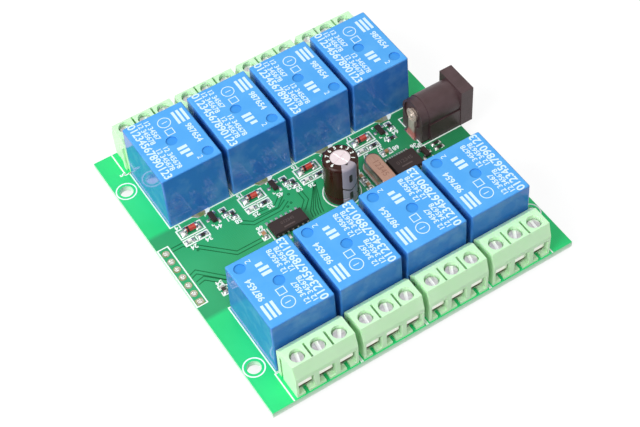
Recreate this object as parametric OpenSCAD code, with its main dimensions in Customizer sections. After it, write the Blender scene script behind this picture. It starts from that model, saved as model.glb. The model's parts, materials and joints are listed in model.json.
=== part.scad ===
// Eight-channel relay board: two rows of four sealed relays, screw terminals on the front and back
// edges, a power jack on the right edge and the driver electronics between the rows.
// The origin is the middle of the mounting holes on the underside of the bare board; +Z is up.

/* [Board] */
// Board past the end relays, on each side
board_margin = 5.85; // [5.8:0.05:8]
// Thickness of the board
board_t = 1.6; // [1:0.1:2.4]
// Diameter of the four mounting holes
mount_hole_d = 3.2; // [2.6:0.1:3.6]
// Mounting holes, distance in from the side edges
mount_inset_x = 2.5; // [2.2:0.1:3]
// Mounting holes, distance in from the front and back edges
mount_inset_y = 11.6; // [10:0.1:14]
// Holes in the header row on the left edge
header_count = 7; // [2:1:10]
// Distance between header holes
header_pitch = 2.54; // [2:0.01:2.54]
// Diameter of a header hole
header_hole_d = 1.1; // [0.8:0.1:1.3]
// Header row, distance in from the left edge
header_inset = 1.35; // [1.2:0.05:1.6]

/* [Relays] */
// Space between the two rows of relays
row_gap = 26.4; // [26:0.1:32]
// Least gap between relays in a row
relay_gap = 0.9; // [0.8:0.05:1.5]
// Width of a relay case
relay_w = 15.5; // [15:0.1:15.8]
// Length of a relay case
relay_l = 19; // [18.6:0.1:19.2]
// Height of a relay case above the board
relay_h = 15.3; // [12:0.1:18]
// Taper of the case, at the top on each side
relay_draft = 0.2; // [0:0.05:0.4]
// Rounding of the case edges
relay_edge_r = 0.4; // [0.2:0.05:0.8]

/* [Terminals] */
// Poles of each terminal block
pole_count = 3; // [1:1:3]
// Distance between poles
pole_pitch = 5; // [4.8:0.05:5.2]
// Depth of a terminal housing
terminal_d = 7.3; // [7.2:0.05:7.4]
// Height of a terminal housing
terminal_h = 10; // [9:0.1:12]
// Least gap between terminals in a row
terminal_side_gap = 1.4; // [1:0.1:2]
// Diameter of a screw head
screw_head_d = 3; // [2.8:0.1:3.7]
// Width of a wire entry
entry_w = 3.9; // [3.6:0.1:4]

/* [Power jack] */
// Length of the jack, rear to front
jack_l = 13.9; // [13.5:0.1:15]
// Width of the jack
jack_w = 8.7; // [8.5:0.1:9.2]
// Height of the flange
jack_h = 10.8; // [10.4:0.1:12]
// Length of the jack that overhangs the board
jack_overhang = 3.2; // [2.8:0.1:3.6]
// Diameter of the socket
jack_bore_d = 6.3; // [6:0.1:6.5]
// Diameter of the centre pin
jack_pin_d = 2; // [1.6:0.05:2.5]

/* [Capacitor and crystal] */
// Diameter of the electrolytic capacitor
cap_d = 8; // [7:0.1:8.6]
// Height of the electrolytic capacitor
cap_h = 12; // [8:0.1:16]
// Height of the crystal can
crystal_h = 3.5; // [3:0.1:5]

/* [Hidden] */
$fn = 32;

eps = 0.01;                 // overshoot that keeps cuts clean
fit = 0.05;                 // clearance between a piece and the pocket it seats in
leg_room = 0.15;            // clearance round a leg in its hole, on each side

// Columns of relays and terminals, at the pitch that the wider of the two needs
relay_count = 4;            // in each row
terminal_w = pole_count * pole_pitch;
relay_pitch = max(relay_w + relay_gap, terminal_w + terminal_side_gap);
board_w = (relay_count - 1) * relay_pitch + relay_w + 2 * board_margin;

// Rows, from the board's edges inwards
terminal_inset = 0.3;       // terminal face to front edge
terminal_overhang = 0.2;    // terminal face past back edge
terminal_gap = 0.6;         // terminal to relay in front
back_gap = 0.3;             // terminal to relay behind
board_d = terminal_inset + 2 * terminal_d + terminal_gap + 2 * relay_l + row_gap + back_gap
    - terminal_overhang;
front_relay_y = -board_d / 2 + terminal_inset + terminal_d + terminal_gap + relay_l / 2;
back_relay_y = board_d / 2 + terminal_overhang - terminal_d - back_gap - relay_l / 2;
front_terminal_y = -board_d / 2 + terminal_inset;
back_terminal_y = board_d / 2 + terminal_overhang;
mount_pitch_x = board_w - 2 * mount_inset_x;
mount_pitch_y = board_d - 2 * mount_inset_y;

// Relay details
relay_wall = 0.9;           // case wall round the base
relay_base_t = 2;           // thickness of the base
relay_base_recess = 0.4;    // base set in from the case's lower rim
relay_dimple_d = 2.6;       // round ejector marks on the case
relay_dimple_depth = 0.25;
relay_mark_x = 5.25;        // corner mark from the middle of the case
relay_mark_y = 6.95;
relay_leg = [1, 0.5];       // section of a leg
relay_com_inset = 1.6;      // common leg from the inner end of the case
relay_coil_step = 2;        // coil legs further in
relay_contact_step = 14.2;  // switched legs, from the common leg
relay_leg_spread = 6;       // legs from the middle line

// Terminal details
terminal_lip_h = 6.4;       // top of the upright front
terminal_slope = 1;         // run of the sloping front
terminal_chamfer = 1.5;     // rear top edge
entry_floor = 0.7;          // floor of the wire entry
entry_top = 5.2;            // top of the wire entry
entry_slot_w = 0.9;         // slot in the floor of the wire entry
chamber_front = 0.9;        // front wall above the wire entry
chamber_back = 6;           // rear wall of the chamber
screw_well = 2.6;           // depth of the screw well
chamber_top = terminal_h - screw_well;
screw_y = 3.05;             // screws from the front face
screw_room = 0.15;          // well round a screw head
screw_well_d = screw_head_d + 2 * screw_room;
screw_head_h = 1.4;
screw_recess = 0.8;         // screw head below the top
screw_shank_d = 2.4;
screw_slot = [0.6, 0.7];    // width and depth of the driver slot
guard_t = 0.4;              // sheet of the wire guard
guard_w = 3.4;
guard_z = 2.2;              // underside of the wire guard
contact_t = 0.6;            // sheet of the contact
contact_w = 3;
contact_y = 5.3;            // rear wall of the contact, at its front
contact_leg = [0.9, 0.6];   // section of a terminal leg
divider_w = 0.5;            // grooves between poles on the top
divider_l = 3.8;
divider_y = 1.1;            // front end of a groove
divider_depth = 2.4;
dovetail_y = 5.8;           // interlocking rib and groove on the ends
dovetail_h = 7.5;
dovetail_depth = 0.6;
dovetail_w = [0.7, 1.1];    // width at the face and inside

// Jack details
jack_relay_gap = 3.7;       // jack to the inner ends of the back relays
jack_y = back_relay_y - relay_l / 2 - jack_relay_gap - jack_w / 2;
jack_front = jack_y - jack_w / 2;
jack_axis_z = jack_h - jack_w / 2;
jack_barrel_inset = 0.3;    // barrel in from the flange's sides
jack_barrel_d = jack_w - 2 * jack_barrel_inset;
jack_flange_t = 3.3;
jack_box_h = 5.2;
jack_box_inset = 0.15;      // box under the barrel in from the flange's sides
jack_ring_l = 2.1;          // collar behind the barrel
jack_ring_inset = 0.55;     // collar in from the flange's sides
jack_ring_w = jack_w - 2 * jack_ring_inset;
jack_groove = 0.15;
jack_bore_l = 9.5;
jack_mouth = 0.4;           // bevel at the mouth of the socket
jack_recess = [3.3, 0.5];   // radius and depth of the rear recess
jack_x = board_w / 2 + jack_overhang - jack_l;      // rear face
jack_strip_w = 2.4;
jack_strip_t = 0.4;
jack_eyelet_d = 3.2;
jack_spring_x = 6;          // sleeve spring's leg from the rear face
jack_spring_l = 5;          // leaf of the sleeve spring
jack_spring_lift = 0.5;     // rise of the leaf into the socket
jack_switch_x = 3;
jack_switch_depth = 1.4;    // slot for the switch contact in the side
jack_switch_h = 3.6;
jack_leg_w = 2.2;
jack_pin_inset = 1.2;       // centre pin's tip from the mouth
jack_rivet = [1.35, 0.3];   // riveted end of the centre pin: radius and height

// Capacitor and crystal details
cap_pos = [row_x(2) - 3.6, 0.2];
cap_sleeve_t = 0.15;
cap_crimp_z = 2;            // crimped groove above the foot
cap_crimp_depth = 0.15;
cap_disc_d = 4.6;           // bare metal on the top
cap_bung_h = 1.2;
cap_rim_t = 0.3;            // can's lower rim round the bung
cap_edge_r = 0.7;           // rounded top edge of the can
cap_score = [0.25, 0.12];   // width and depth of the vent's scored lines
cap_stand = 0.3;            // foot above the board
cap_lead_d = 0.6;
cap_lead_pitch = 3.5;
crystal_pos = [row_x(2) + 5.9, -1.3];
crystal_l = 11;
crystal_w = 4.6;
crystal_flange = 0.4;
crystal_base_t = 0.5;
crystal_edge = 0.4;
crystal_stand = 0.2;
crystal_lead_d = 0.45;
crystal_lead_pitch = 4.9;

// Chips: length, width, height of the body and span over the leads
logic_pos = [row_x(1) - 2.1, -0.9];
logic_size = [8.65, 3.9, 1.5];
logic_span = 6;
logic_pitch = 1.27;
logic_lead_w = 0.42;
logic_lead_count = 7;       // on each side
controller_pos = [row_x(3) - 3.9, -1.6];
controller_size = [7.2, 5.3, 1.7];
controller_span = 7.8;
controller_pitch = 0.65;
controller_lead_w = 0.3;
controller_lead_count = 10;
lead_t = 0.2;               // sheet of the gull-wing leads
lead_foot = 0.6;
chip_stand = 0.1;           // chips above the board
chip_draft = 0.15;

// Driver parts of one relay, from the middle of its diode: step and turn of each
driver_back = [-4.4, -4.85, -6.6, -8.15];     // diodes from the relays' middle lines, back row
driver_front = [-3.55, -1.1, 1.2, -3.6];      // the same for the front row, turned half round
driver_row = 3.2;           // diode from the relay's inner end
lamp_step = [-1.7, -2.8, 0];
base_resistor_step = [1.6, -2.8, 0];
transistor_step = [5.7, 0, 0];
bias_resistor_step = [8.6, 0, 90];
pull_resistor_step = [10, -1.7, 90];
// The same in the last group of the back row, packed closer beside the jack
near_jack = relay_count - 1;
near_transistor_step = [5.2, 0, 0];
near_bias_resistor_step = [7.9, 0, 90];
near_pull_resistor_step = [6.25, -3.4, 0];

// Small parts
diode_l = 3.4;
diode_d = 1.4;
diode_cap_l = 0.55;
diode_cap_d = 1.5;
sot_size = [1.3, 2.9, 1];
sot_span = 2.5;
sot_lead_w = 0.42;
sot_pitch = 0.95;
chip_part = [1.6, 0.8, 0.45];   // chip resistors and lamps
chip_end = 0.3;
chip_skin = 0.04;               // metal ends round the body
ceramic_part = [1.6, 0.8, 0.8];
lamp_lens_h = 0.3;
regulator_pos = [row_x(3) + 1.9, jack_front - 2.3];
// Other chip parts: x, y, turned a quarter
ceramic_places = [
    [row_x(1) - 8, -0.2, 90], [row_x(2) + 2.3, 1.2, 90], [row_x(2) + 2.3, -1.7, 90],
    [row_x(3) - 5.3, 4.2, 0]
];
resistor_places = [for (step = [1.2, 2.6]) [row_x(3) + 5.6, jack_front - step, 0]];

// Solder joints under the board
joint_h = 1.5;
joint_r = 1.3;
joint_tip_r = 0.7;
joint_dome = 0.1;           // bevel at the tip
jack_joint_r = 1.9;
jack_joint_tip_r = 1.35;
joint_cover = 0.15;         // solder over the cut end of a leg
leg_cut = joint_h - joint_cover;

// x of a relay's or terminal's middle in its row
function row_x(i) = (i - (relay_count - 1) / 2) * relay_pitch;
// x of a pole's screw in its terminal
function pole_x(i) = (i - (pole_count - 1) / 2) * pole_pitch;
// Legs of a relay from the middle of its case, inner end towards -y
relay_legs_xy = [
    [0, relay_com_inset - relay_l / 2],
    for (s = [-1, 1]) [s * relay_leg_spread, relay_com_inset + relay_coil_step - relay_l / 2],
    for (s = [-1, 1]) [s * relay_leg_spread, relay_com_inset + relay_contact_step - relay_l / 2]
];

// Puts children where relay i stands: 0 to 3 at the back, then the front row turned half round
module at_relay(i) {
    back = i < relay_count;
    translate([row_x(i % relay_count), back ? back_relay_y : front_relay_y, board_t])
        rotate(back ? 0 : 180) children();
}

// Puts children at the front corner line of terminal i, wire entries towards -y
module at_terminal(i) {
    front = i < relay_count;
    translate([row_x(i % relay_count), front ? front_terminal_y : back_terminal_y, board_t])
        rotate(front ? 0 : 180) children();
}

module at_every_relay() {
    for (i = [0 : 2 * relay_count - 1]) at_relay(i) children();
}

module at_every_pole() {
    for (i = [0 : 2 * relay_count - 1], p = [0 : pole_count - 1])
        at_terminal(i) translate([pole_x(p), 0, 0]) children();
}

// Puts children at a step, given as x, y and turn, from the middle of each relay's diode.
// The last group of the back row may have a step of its own.
module at_every_driver(step = [0, 0, 0], near_step = undef) {
    for (i = [0 : 2 * relay_count - 1]) {
        shift = i < relay_count ? driver_back[i] : driver_front[i - relay_count];
        s = i == near_jack && near_step != undef ? near_step : step;
        at_relay(i) translate([shift + s[0], s[1] - relay_l / 2 - driver_row, 0])
            rotate(s[2]) children();
    }
}

module at_jack() {
    translate([jack_x, jack_y, board_t]) children();
}

// A box on its middle line, standing on z = 0
module block(size) {
    translate([-size[0] / 2, -size[1] / 2, 0]) cube(size);
}

// ---------- board ----------
module relay_leg_holes() {
    hole_d = norm(relay_leg) + 2 * leg_room;
    at_every_relay() for (p = relay_legs_xy)
        translate([p[0], p[1], -board_t - eps]) cylinder(d = hole_d, h = board_t + 2 * eps);
}

module terminal_leg_holes() {
    hole_d = norm(contact_leg) + 2 * leg_room;
    at_every_pole() translate([0, contact_y + contact_t / 2, -board_t - eps])
        cylinder(d = hole_d, h = board_t + 2 * eps);
}

// A slot through the board, l long by w wide, along y unless turned
module board_slot(l, w, turn = 0) {
    rotate(turn) translate([0, 0, -board_t - eps]) {
        block([w, l - w, board_t + 2 * eps]);
        for (s = [-1, 1]) translate([0, s * (l - w) / 2, 0]) cylinder(d = w, h = board_t + 2 * eps);
    }
}

module jack_leg_slots() {
    w = jack_strip_t + 4 * leg_room;
    at_jack() {
        translate([jack_recess[1] - jack_strip_t / 2, 0, 0]) board_slot(jack_strip_w + 4 * leg_room, w);
        translate([jack_spring_x, 0, 0]) board_slot(jack_leg_w + 4 * leg_room, w);
        translate([jack_switch_x, jack_w / 2 - jack_strip_t / 2, 0])
            board_slot(jack_leg_w + 4 * leg_room, w, 90);
    }
}

module circuit_board() {
    color("#2fa368") difference() {
        block([board_w, board_d, board_t]);
        for (sx = [-1, 1], sy = [-1, 1])
            translate([sx * mount_pitch_x / 2, sy * mount_pitch_y / 2, -eps])
                cylinder(d = mount_hole_d, h = board_t + 2 * eps, $fn = 48);
        for (i = [0 : header_count - 1])
            translate([-board_w / 2 + header_inset, (i - (header_count - 1) / 2) * header_pitch, -eps])
                cylinder(d = header_hole_d, h = board_t + 2 * eps);
        relay_leg_holes();
        terminal_leg_holes();
        jack_leg_slots();
        translate(cap_pos) for (s = [-1, 1])
            translate([s * cap_lead_pitch / 2, 0, -eps])
                cylinder(d = cap_lead_d + 2 * leg_room, h = board_t + 2 * eps);
        translate(crystal_pos) for (s = [-1, 1])
            translate([0, s * crystal_lead_pitch / 2, -eps])
                cylinder(d = crystal_lead_d + 2 * leg_room, h = board_t + 2 * eps);
    }
}

// ---------- relays ----------
module relay_case(n) {
    base_room = 2 * fit;
    pocket = [relay_w - 2 * relay_wall, relay_l - 2 * relay_wall];
    top = [relay_w / 2 - relay_draft - relay_edge_r, relay_l / 2 - relay_draft - relay_edge_r];
    foot = [relay_w / 2 - relay_edge_r, relay_l / 2 - relay_edge_r];
    color("#3d9bf0") at_relay(n - 1) difference() {
        hull() for (sx = [-1, 1], sy = [-1, 1]) {
            translate([sx * foot[0], sy * foot[1], 0]) cylinder(r = relay_edge_r, h = eps, $fn = 16);
            translate([sx * top[0], sy * top[1], relay_h - relay_edge_r])
                sphere(r = relay_edge_r, $fn = 16);
        }
        translate([0, 0, -eps])
            block([pocket[0], pocket[1], relay_base_recess + relay_base_t + base_room + eps]);
        for (p = [[0, 0], [relay_mark_x, -relay_mark_y]])
            translate([p[0], p[1], relay_h - relay_dimple_depth])
                cylinder(d = relay_dimple_d, h = relay_dimple_depth + eps);
    }
}

module relay_bases() {
    size = [relay_w - 2 * relay_wall - 2 * fit, relay_l - 2 * relay_wall - 2 * fit, relay_base_t];
    color("#24365c") at_every_relay() translate([0, 0, relay_base_recess + fit]) difference() {
        block(size);
        for (p = relay_legs_xy) translate([p[0], p[1], -eps])
            block([relay_leg[0] + 2 * fit, relay_leg[1] + 2 * fit, relay_base_t + 2 * eps]);
    }
}

module relay_legs() {
    top = relay_base_recess + relay_base_t;
    color("silver") at_every_relay() for (p = relay_legs_xy)
        translate([p[0], p[1], -board_t - leg_cut])
            block([relay_leg[0], relay_leg[1], board_t + leg_cut + top]);
}

// ---------- terminals ----------
// Draws a side profile, front at x = 0 and up at y = 0, as a slab w wide on the middle line
module side_slab(w) {
    rotate([90, 0, 90]) translate([0, 0, -w / 2]) linear_extrude(w) children();
}

module housing_profile() {
    polygon([
        [0, 0], [0, terminal_lip_h], [terminal_slope, terminal_h],
        [terminal_d - terminal_chamfer, terminal_h], [terminal_d, terminal_h - terminal_chamfer],
        [terminal_d, 0]
    ]);
}

// Dovetail outline in plan: narrow at the end face, wide away from it
module dovetail(extra) {
    a = dovetail_w[0] / 2 + extra;
    b = dovetail_w[1] / 2 + extra;
    polygon([[-eps, -a], [-eps, a], [dovetail_depth + extra, b], [dovetail_depth + extra, -b]]);
}

module entry_cuts() {
    // wire entry through the front wall
    translate([0, (chamber_front + chamber_back) / 2 - chamber_front, entry_floor])
        block([entry_w, chamber_back + chamber_front, entry_top - entry_floor]);
    // chamber for the metal parts
    translate([0, (chamber_front + chamber_back) / 2, entry_floor])
        block([entry_w, chamber_back - chamber_front, chamber_top - entry_floor]);
    // slot in the floor
    translate([0, (chamber_back - eps) / 2 - eps, -eps])
        block([entry_slot_w, chamber_back + eps, entry_floor + 2 * eps]);
    // screw well
    translate([0, screw_y, chamber_top - eps])
        cylinder(d = screw_well_d, h = terminal_h - chamber_top + 2 * eps);
}

module terminal_housing(n) {
    color("#c4efb4") at_terminal(n - 1) difference() {
        union() {
            side_slab(terminal_w) housing_profile();
            translate([terminal_w / 2, dovetail_y, 0]) linear_extrude(dovetail_h) dovetail(0);
        }
        for (p = [0 : pole_count - 1]) translate([pole_x(p), 0, 0]) entry_cuts();
        for (p = [1 : 1 : pole_count - 1])
            translate([pole_x(p) - pole_pitch / 2, divider_y + divider_l / 2, terminal_h - divider_depth])
                block([divider_w, divider_l, divider_depth + eps]);
        translate([-terminal_w / 2, dovetail_y, -eps]) linear_extrude(dovetail_h + eps) dovetail(fit);
    }
}

module terminal_screws() {
    head_z = terminal_h - screw_recess - screw_head_h;
    color("gainsboro") at_every_pole() translate([0, screw_y, 0]) difference() {
        union() {
            translate([0, 0, head_z]) cylinder(d = screw_head_d, h = screw_head_h);
            translate([0, 0, guard_z + guard_t + fit])
                cylinder(d = screw_shank_d, h = head_z - guard_z - guard_t - fit + eps);
        }
        translate([0, 0, head_z + screw_head_h - screw_slot[1]])
            block([screw_slot[0], screw_head_d + 2 * eps, screw_slot[1] + eps]);
    }
}

// Sheet under the screw with a lip that shows in the wire entry
module terminal_wire_guards() {
    front = chamber_front + fit;
    back = contact_y - 2 * fit;
    lip = chamber_top - contact_t - 4 * fit;
    color("white") at_every_pole() side_slab(guard_w) polygon([
        [front, guard_z], [back, guard_z], [back, guard_z + guard_t],
        [front + guard_t, guard_z + guard_t], [front + guard_t, lip - guard_t], [front, lip - guard_t]
    ]);
}

// Bracket round the wire space: threaded top, rear wall, floor strip and a leg through the board
module terminal_contacts() {
    top = chamber_top - fit;
    floor_z = entry_floor + fit;
    back = contact_y + contact_t;
    front = screw_y - screw_shank_d / 2 - contact_t;
    color("silver") at_every_pole() {
        difference() {
            side_slab(contact_w) polygon([
                [front, top], [back, top], [back, floor_z], [front, floor_z],
                [front, floor_z + contact_t], [contact_y, floor_z + contact_t],
                [contact_y, top - contact_t], [front, top - contact_t]
            ]);
            translate([0, screw_y, top - contact_t - eps])
                cylinder(d = screw_shank_d + 2 * fit, h = contact_t + 2 * eps);
        }
        translate([0, contact_y + contact_t / 2, -board_t - leg_cut])
            block([contact_leg[0] - 2 * fit, contact_leg[1], board_t + leg_cut + floor_z + contact_t / 2]);
    }
}

// ---------- power jack ----------
// Lays children's z axis along x at the height of the socket
module along_jack(x = 0) {
    translate([x, 0, jack_axis_z]) rotate([0, 90, 0]) children();
}

module jack_shell() {
    barrel_l = jack_l - jack_flange_t;
    along_jack() cylinder(d = jack_barrel_d - 2 * jack_groove, h = jack_ring_l);
    translate([jack_ring_l / 2, 0, 0]) block([jack_ring_l, jack_ring_w, jack_axis_z]);
    along_jack(jack_ring_l) cylinder(d = jack_barrel_d, h = barrel_l - jack_ring_l);
    translate([(jack_ring_l + barrel_l) / 2, 0, 0])
        block([barrel_l - jack_ring_l, jack_w - 2 * jack_box_inset, jack_box_h]);
    translate([jack_l - jack_flange_t / 2, 0, 0]) block([jack_flange_t, jack_w, jack_h]);
}

module jack_body() {
    bore_x = jack_l - jack_bore_l;
    bore_r = jack_bore_d / 2;
    color("#3f3538") at_jack() difference() {
        jack_shell();
        along_jack(bore_x) cylinder(r = bore_r, h = jack_bore_l + eps, $fn = 48);
        along_jack(jack_l - jack_mouth)
            cylinder(r1 = bore_r, r2 = bore_r + jack_mouth + eps, h = jack_mouth + eps, $fn = 48);
        along_jack(-eps) cylinder(r = jack_recess[0], h = jack_recess[1] + eps);
        translate([jack_recess[1] / 2, 0, -eps])
            block([jack_recess[1] + 2 * eps, jack_strip_w + 2 * fit, jack_axis_z]);
        along_jack(-eps) cylinder(d = jack_pin_d + 2 * fit, h = bore_x + 2 * eps);
        // slot for the sleeve spring, open underneath and into the socket
        translate([jack_spring_x + (jack_spring_l - jack_strip_t) / 2, 0, -eps])
            block([jack_spring_l + 2 * jack_strip_t, jack_leg_w + 4 * fit, jack_axis_z]);
        // slot for the switch contact in the far side
        translate([jack_switch_x, jack_w / 2 - jack_switch_depth / 2, -eps])
            block([jack_leg_w + 4 * fit, jack_switch_depth + eps, jack_switch_h + 2 * fit]);
    }
}

module jack_centre_pin() {
    r = jack_pin_d / 2;
    strip_x = jack_recess[1] - jack_strip_t;
    tip_x = jack_l - jack_pin_inset;
    color("silver") at_jack() along_jack() rotate_extrude() polygon([
        [0, strip_x - jack_rivet[1]], [jack_rivet[0], strip_x - jack_rivet[1]],
        [jack_rivet[0], strip_x], [r, strip_x],
        for (a = [0 : 15 : 90]) [r * cos(a), tip_x - r + r * sin(a)]
    ]);
}

module jack_rear_contact() {
    color("#b3a78f") at_jack() difference() {
        union() {
            along_jack(jack_recess[1] - jack_strip_t) cylinder(d = jack_eyelet_d, h = jack_strip_t);
            translate([jack_recess[1] - jack_strip_t / 2, 0, -board_t - leg_cut])
                block([jack_strip_t, jack_strip_w, jack_axis_z + board_t + leg_cut]);
        }
        along_jack(-eps) cylinder(d = jack_pin_d, h = jack_recess[1] + 2 * eps);
    }
}

// Leg up through the board and a leaf that leans into the socket
module jack_sleeve_spring() {
    t = jack_strip_t;
    leaf_z = jack_axis_z - jack_bore_d / 2;
    color("silver") at_jack() translate([jack_spring_x, 0, 0]) side_turned(jack_leg_w) polygon([
        [-t / 2, -board_t - leg_cut], [t / 2, -board_t - leg_cut], [t / 2, leaf_z - t],
        [jack_spring_l - t, leaf_z + jack_spring_lift - t], [jack_spring_l - t, leaf_z + jack_spring_lift],
        [-t / 2, leaf_z]
    ]);
}

module jack_switch_contact() {
    t = jack_strip_t;
    color("silver") at_jack() translate([jack_switch_x, jack_w / 2, 0]) side_slab(jack_leg_w) polygon([
        [-t, -board_t - leg_cut], [0, -board_t - leg_cut], [0, jack_switch_h],
        [-jack_switch_depth + fit, jack_switch_h], [-jack_switch_depth + fit, jack_switch_h - t],
        [-t, jack_switch_h - t]
    ]);
}

// Draws a profile in x and z as a slab w wide across y
module side_turned(w) {
    rotate([90, 0, 0]) translate([0, 0, -w / 2]) linear_extrude(w) children();
}

// ---------- capacitor ----------
can_r = cap_d / 2 - cap_sleeve_t - fit / 2;

// Points of a rounded top edge of radius r that ends at radius outer and height top
function rounded_edge(outer, top, r) =
    [for (a = [0 : 15 : 90]) [outer - r + r * cos(a), top - r + r * sin(a)]];

// Points of the crimped groove in a wall of radius outer
function crimp(outer) = [
    [outer, cap_crimp_z - 2 * cap_crimp_depth], [outer - cap_crimp_depth, cap_crimp_z],
    [outer, cap_crimp_z + 2 * cap_crimp_depth]
];

module at_cap() {
    translate([cap_pos[0], cap_pos[1], board_t + cap_stand]) children();
}

module capacitor_can() {
    rim = can_r - cap_rim_t;
    color("#e8dcdc") at_cap() difference() {
        rotate_extrude($fn = 64) polygon([
            [0, cap_bung_h], [rim, cap_bung_h], [rim, 0], [can_r, 0], each crimp(can_r),
            each rounded_edge(can_r, cap_h - cap_sleeve_t, cap_edge_r), [0, cap_h - cap_sleeve_t]
        ]);
        for (a = [0, 90]) rotate(a + 20) translate([0, 0, cap_h - cap_sleeve_t - cap_score[1]])
            block([cap_disc_d - 2 * cap_score[0], cap_score[0], cap_score[1] + eps]);
    }
}

// Shrunk plastic tube, folded over the top edge
module capacitor_sleeve() {
    inner = cap_d / 2 - cap_sleeve_t;
    lower = cap_h - cap_sleeve_t + fit / 2;
    color("#33251f") at_cap() rotate_extrude($fn = 64) polygon([
        [inner, 0], [cap_d / 2, 0], each crimp(cap_d / 2),
        each rounded_edge(cap_d / 2, cap_h + fit / 2, cap_edge_r + cap_sleeve_t),
        [cap_disc_d / 2, cap_h + fit / 2], [cap_disc_d / 2, lower],
        each reverse(rounded_edge(inner, lower, cap_edge_r)), each reverse(crimp(inner))
    ]);
}

function reverse(list) = [for (i = [len(list) - 1 : -1 : 0]) list[i]];

module capacitor_bung() {
    color("#2b2523") at_cap() difference() {
        cylinder(r = can_r - cap_rim_t - fit, h = cap_bung_h - fit);
        for (s = [-1, 1]) translate([s * cap_lead_pitch / 2, 0, -eps])
            cylinder(d = cap_lead_d + 2 * fit, h = cap_bung_h);
    }
}

module capacitor_leads() {
    color("silver") at_cap() for (s = [-1, 1])
        translate([s * cap_lead_pitch / 2, 0, -cap_stand - board_t - leg_cut])
            cylinder(d = cap_lead_d, h = cap_stand + board_t + leg_cut + cap_bung_h - fit);
}

// ---------- crystal ----------
module at_crystal() {
    translate([crystal_pos[0], crystal_pos[1], board_t + crystal_stand]) children();
}

// Round-ended outline, long way along y
module round_ended(l, w) {
    square([w, l - w], center = true);
    for (s = [-1, 1]) translate([0, s * (l - w) / 2]) circle(d = w);
}

module crystal_can() {
    l = crystal_l - 2 * crystal_flange;
    w = crystal_w - 2 * crystal_flange;
    z = crystal_h - crystal_base_t - crystal_stand;
    color("#b59384") at_crystal() translate([0, 0, crystal_base_t]) {
        linear_extrude(crystal_flange) round_ended(crystal_l - crystal_flange, crystal_w - crystal_flange);
        hull() {
            linear_extrude(crystal_flange) round_ended(l, w);
            for (a = [0 : 22.5 : 90]) {
                inset = 2 * crystal_edge * (1 - cos(a));
                translate([0, 0, z - crystal_edge * (1 - sin(a)) - eps])
                    linear_extrude(eps) round_ended(l - inset, w - inset);
            }
        }
    }
}

module crystal_base() {
    color("silver") at_crystal() difference() {
        linear_extrude(crystal_base_t) round_ended(crystal_l, crystal_w);
        for (s = [-1, 1]) translate([0, s * crystal_lead_pitch / 2, -eps])
            cylinder(d = crystal_lead_d + 2 * fit, h = crystal_base_t + 2 * eps);
    }
}

module crystal_leads() {
    color("silver") at_crystal() for (s = [-1, 1])
        translate([0, s * crystal_lead_pitch / 2, -crystal_stand - board_t - leg_cut])
            cylinder(d = crystal_lead_d, h = crystal_stand + board_t + leg_cut + crystal_base_t);
}

// ---------- moulded chips ----------
// Side of a moulded body l long: an upright band at half height, drafted above and below
module moulded_side(l, h) {
    band = lead_t;
    polygon([
        [-l / 2 + chip_draft, 0], [-l / 2, (h - band) / 2], [-l / 2, (h + band) / 2],
        [-l / 2 + chip_draft, h], [l / 2 - chip_draft, h], [l / 2, (h + band) / 2],
        [l / 2, (h - band) / 2], [l / 2 - chip_draft, 0]
    ]);
}

module moulded_body(size) {
    translate([0, 0, chip_stand]) intersection() {
        side_turned(size[1]) moulded_side(size[0], size[2]);
        side_slab(size[0]) moulded_side(size[1], size[2]);
    }
}

// Gull-wing lead from a body's side at y = 0 out to y = run, w wide
module gull_lead(run, h, w) {
    mid = chip_stand + h / 2;
    t = lead_t;
    foot = run - min(lead_foot, run / 2);
    side_slab(w) polygon([
        [0, mid + t / 2], [run / 4, mid + t / 2], [foot, t], [run, t],
        [run, 0], [foot - t / 2, 0], [run / 4 - t / 2, mid - t / 2], [0, mid - t / 2]
    ]);
}

// Rows of leads on both long sides of a chip, count on each side
module chip_leads(size, span, pitch, count, w) {
    for (turn = [0, 180], i = [0 : count - 1]) rotate(turn)
        translate([(i - (count - 1) / 2) * pitch, size[1] / 2, 0])
            gull_lead((span - size[1]) / 2, size[2], w);
}

module at_logic() {
    translate([logic_pos[0], logic_pos[1], board_t]) children();
}

module logic_chip_body() {
    color("#3a2f2f") at_logic() moulded_body(logic_size);
}

module logic_chip_leads() {
    color("silver") at_logic()
        chip_leads(logic_size, logic_span, logic_pitch, logic_lead_count, logic_lead_w);
}

module at_controller() {
    translate([controller_pos[0], controller_pos[1], board_t]) children();
}

module controller_body() {
    color("#3a2a26") at_controller() moulded_body(controller_size);
}

module controller_leads() {
    color("silver") at_controller()
        chip_leads(controller_size, controller_span, controller_pitch, controller_lead_count,
            controller_lead_w);
}

// ---------- diodes ----------
module diode_glass() {
    l = diode_l - 2 * diode_cap_l;
    color("#b8452f") at_every_driver() translate([-l / 2, 0, diode_cap_d / 2])
        rotate([0, 90, 0]) cylinder(d = diode_d, h = l, $fn = 24);
}

module diode_caps() {
    color("silver") at_every_driver() for (x = [-diode_l / 2, diode_l / 2 - diode_cap_l])
        translate([x, 0, diode_cap_d / 2]) rotate([0, 90, 0])
            cylinder(d = diode_cap_d, h = diode_cap_l, $fn = 24);
}

// ---------- transistors and regulator ----------
module sot_body() {
    moulded_body(sot_size);
}

// Two leads on the right, one on the left
module sot_leads() {
    for (p = [[1, -sot_pitch], [1, sot_pitch], [-1, 0]])
        translate([p[0] * sot_size[0] / 2, p[1], 0]) rotate(-p[0] * 90)
            gull_lead((sot_span - sot_size[0]) / 2, sot_size[2], sot_lead_w);
}

module transistor_bodies() {
    color("#3a2a26") at_every_driver(transistor_step, near_transistor_step) sot_body();
}

module transistor_leads() {
    color("silver") at_every_driver(transistor_step, near_transistor_step) sot_leads();
}

module at_regulator() {
    translate([regulator_pos[0], regulator_pos[1], board_t]) rotate(180) children();
}

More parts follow.
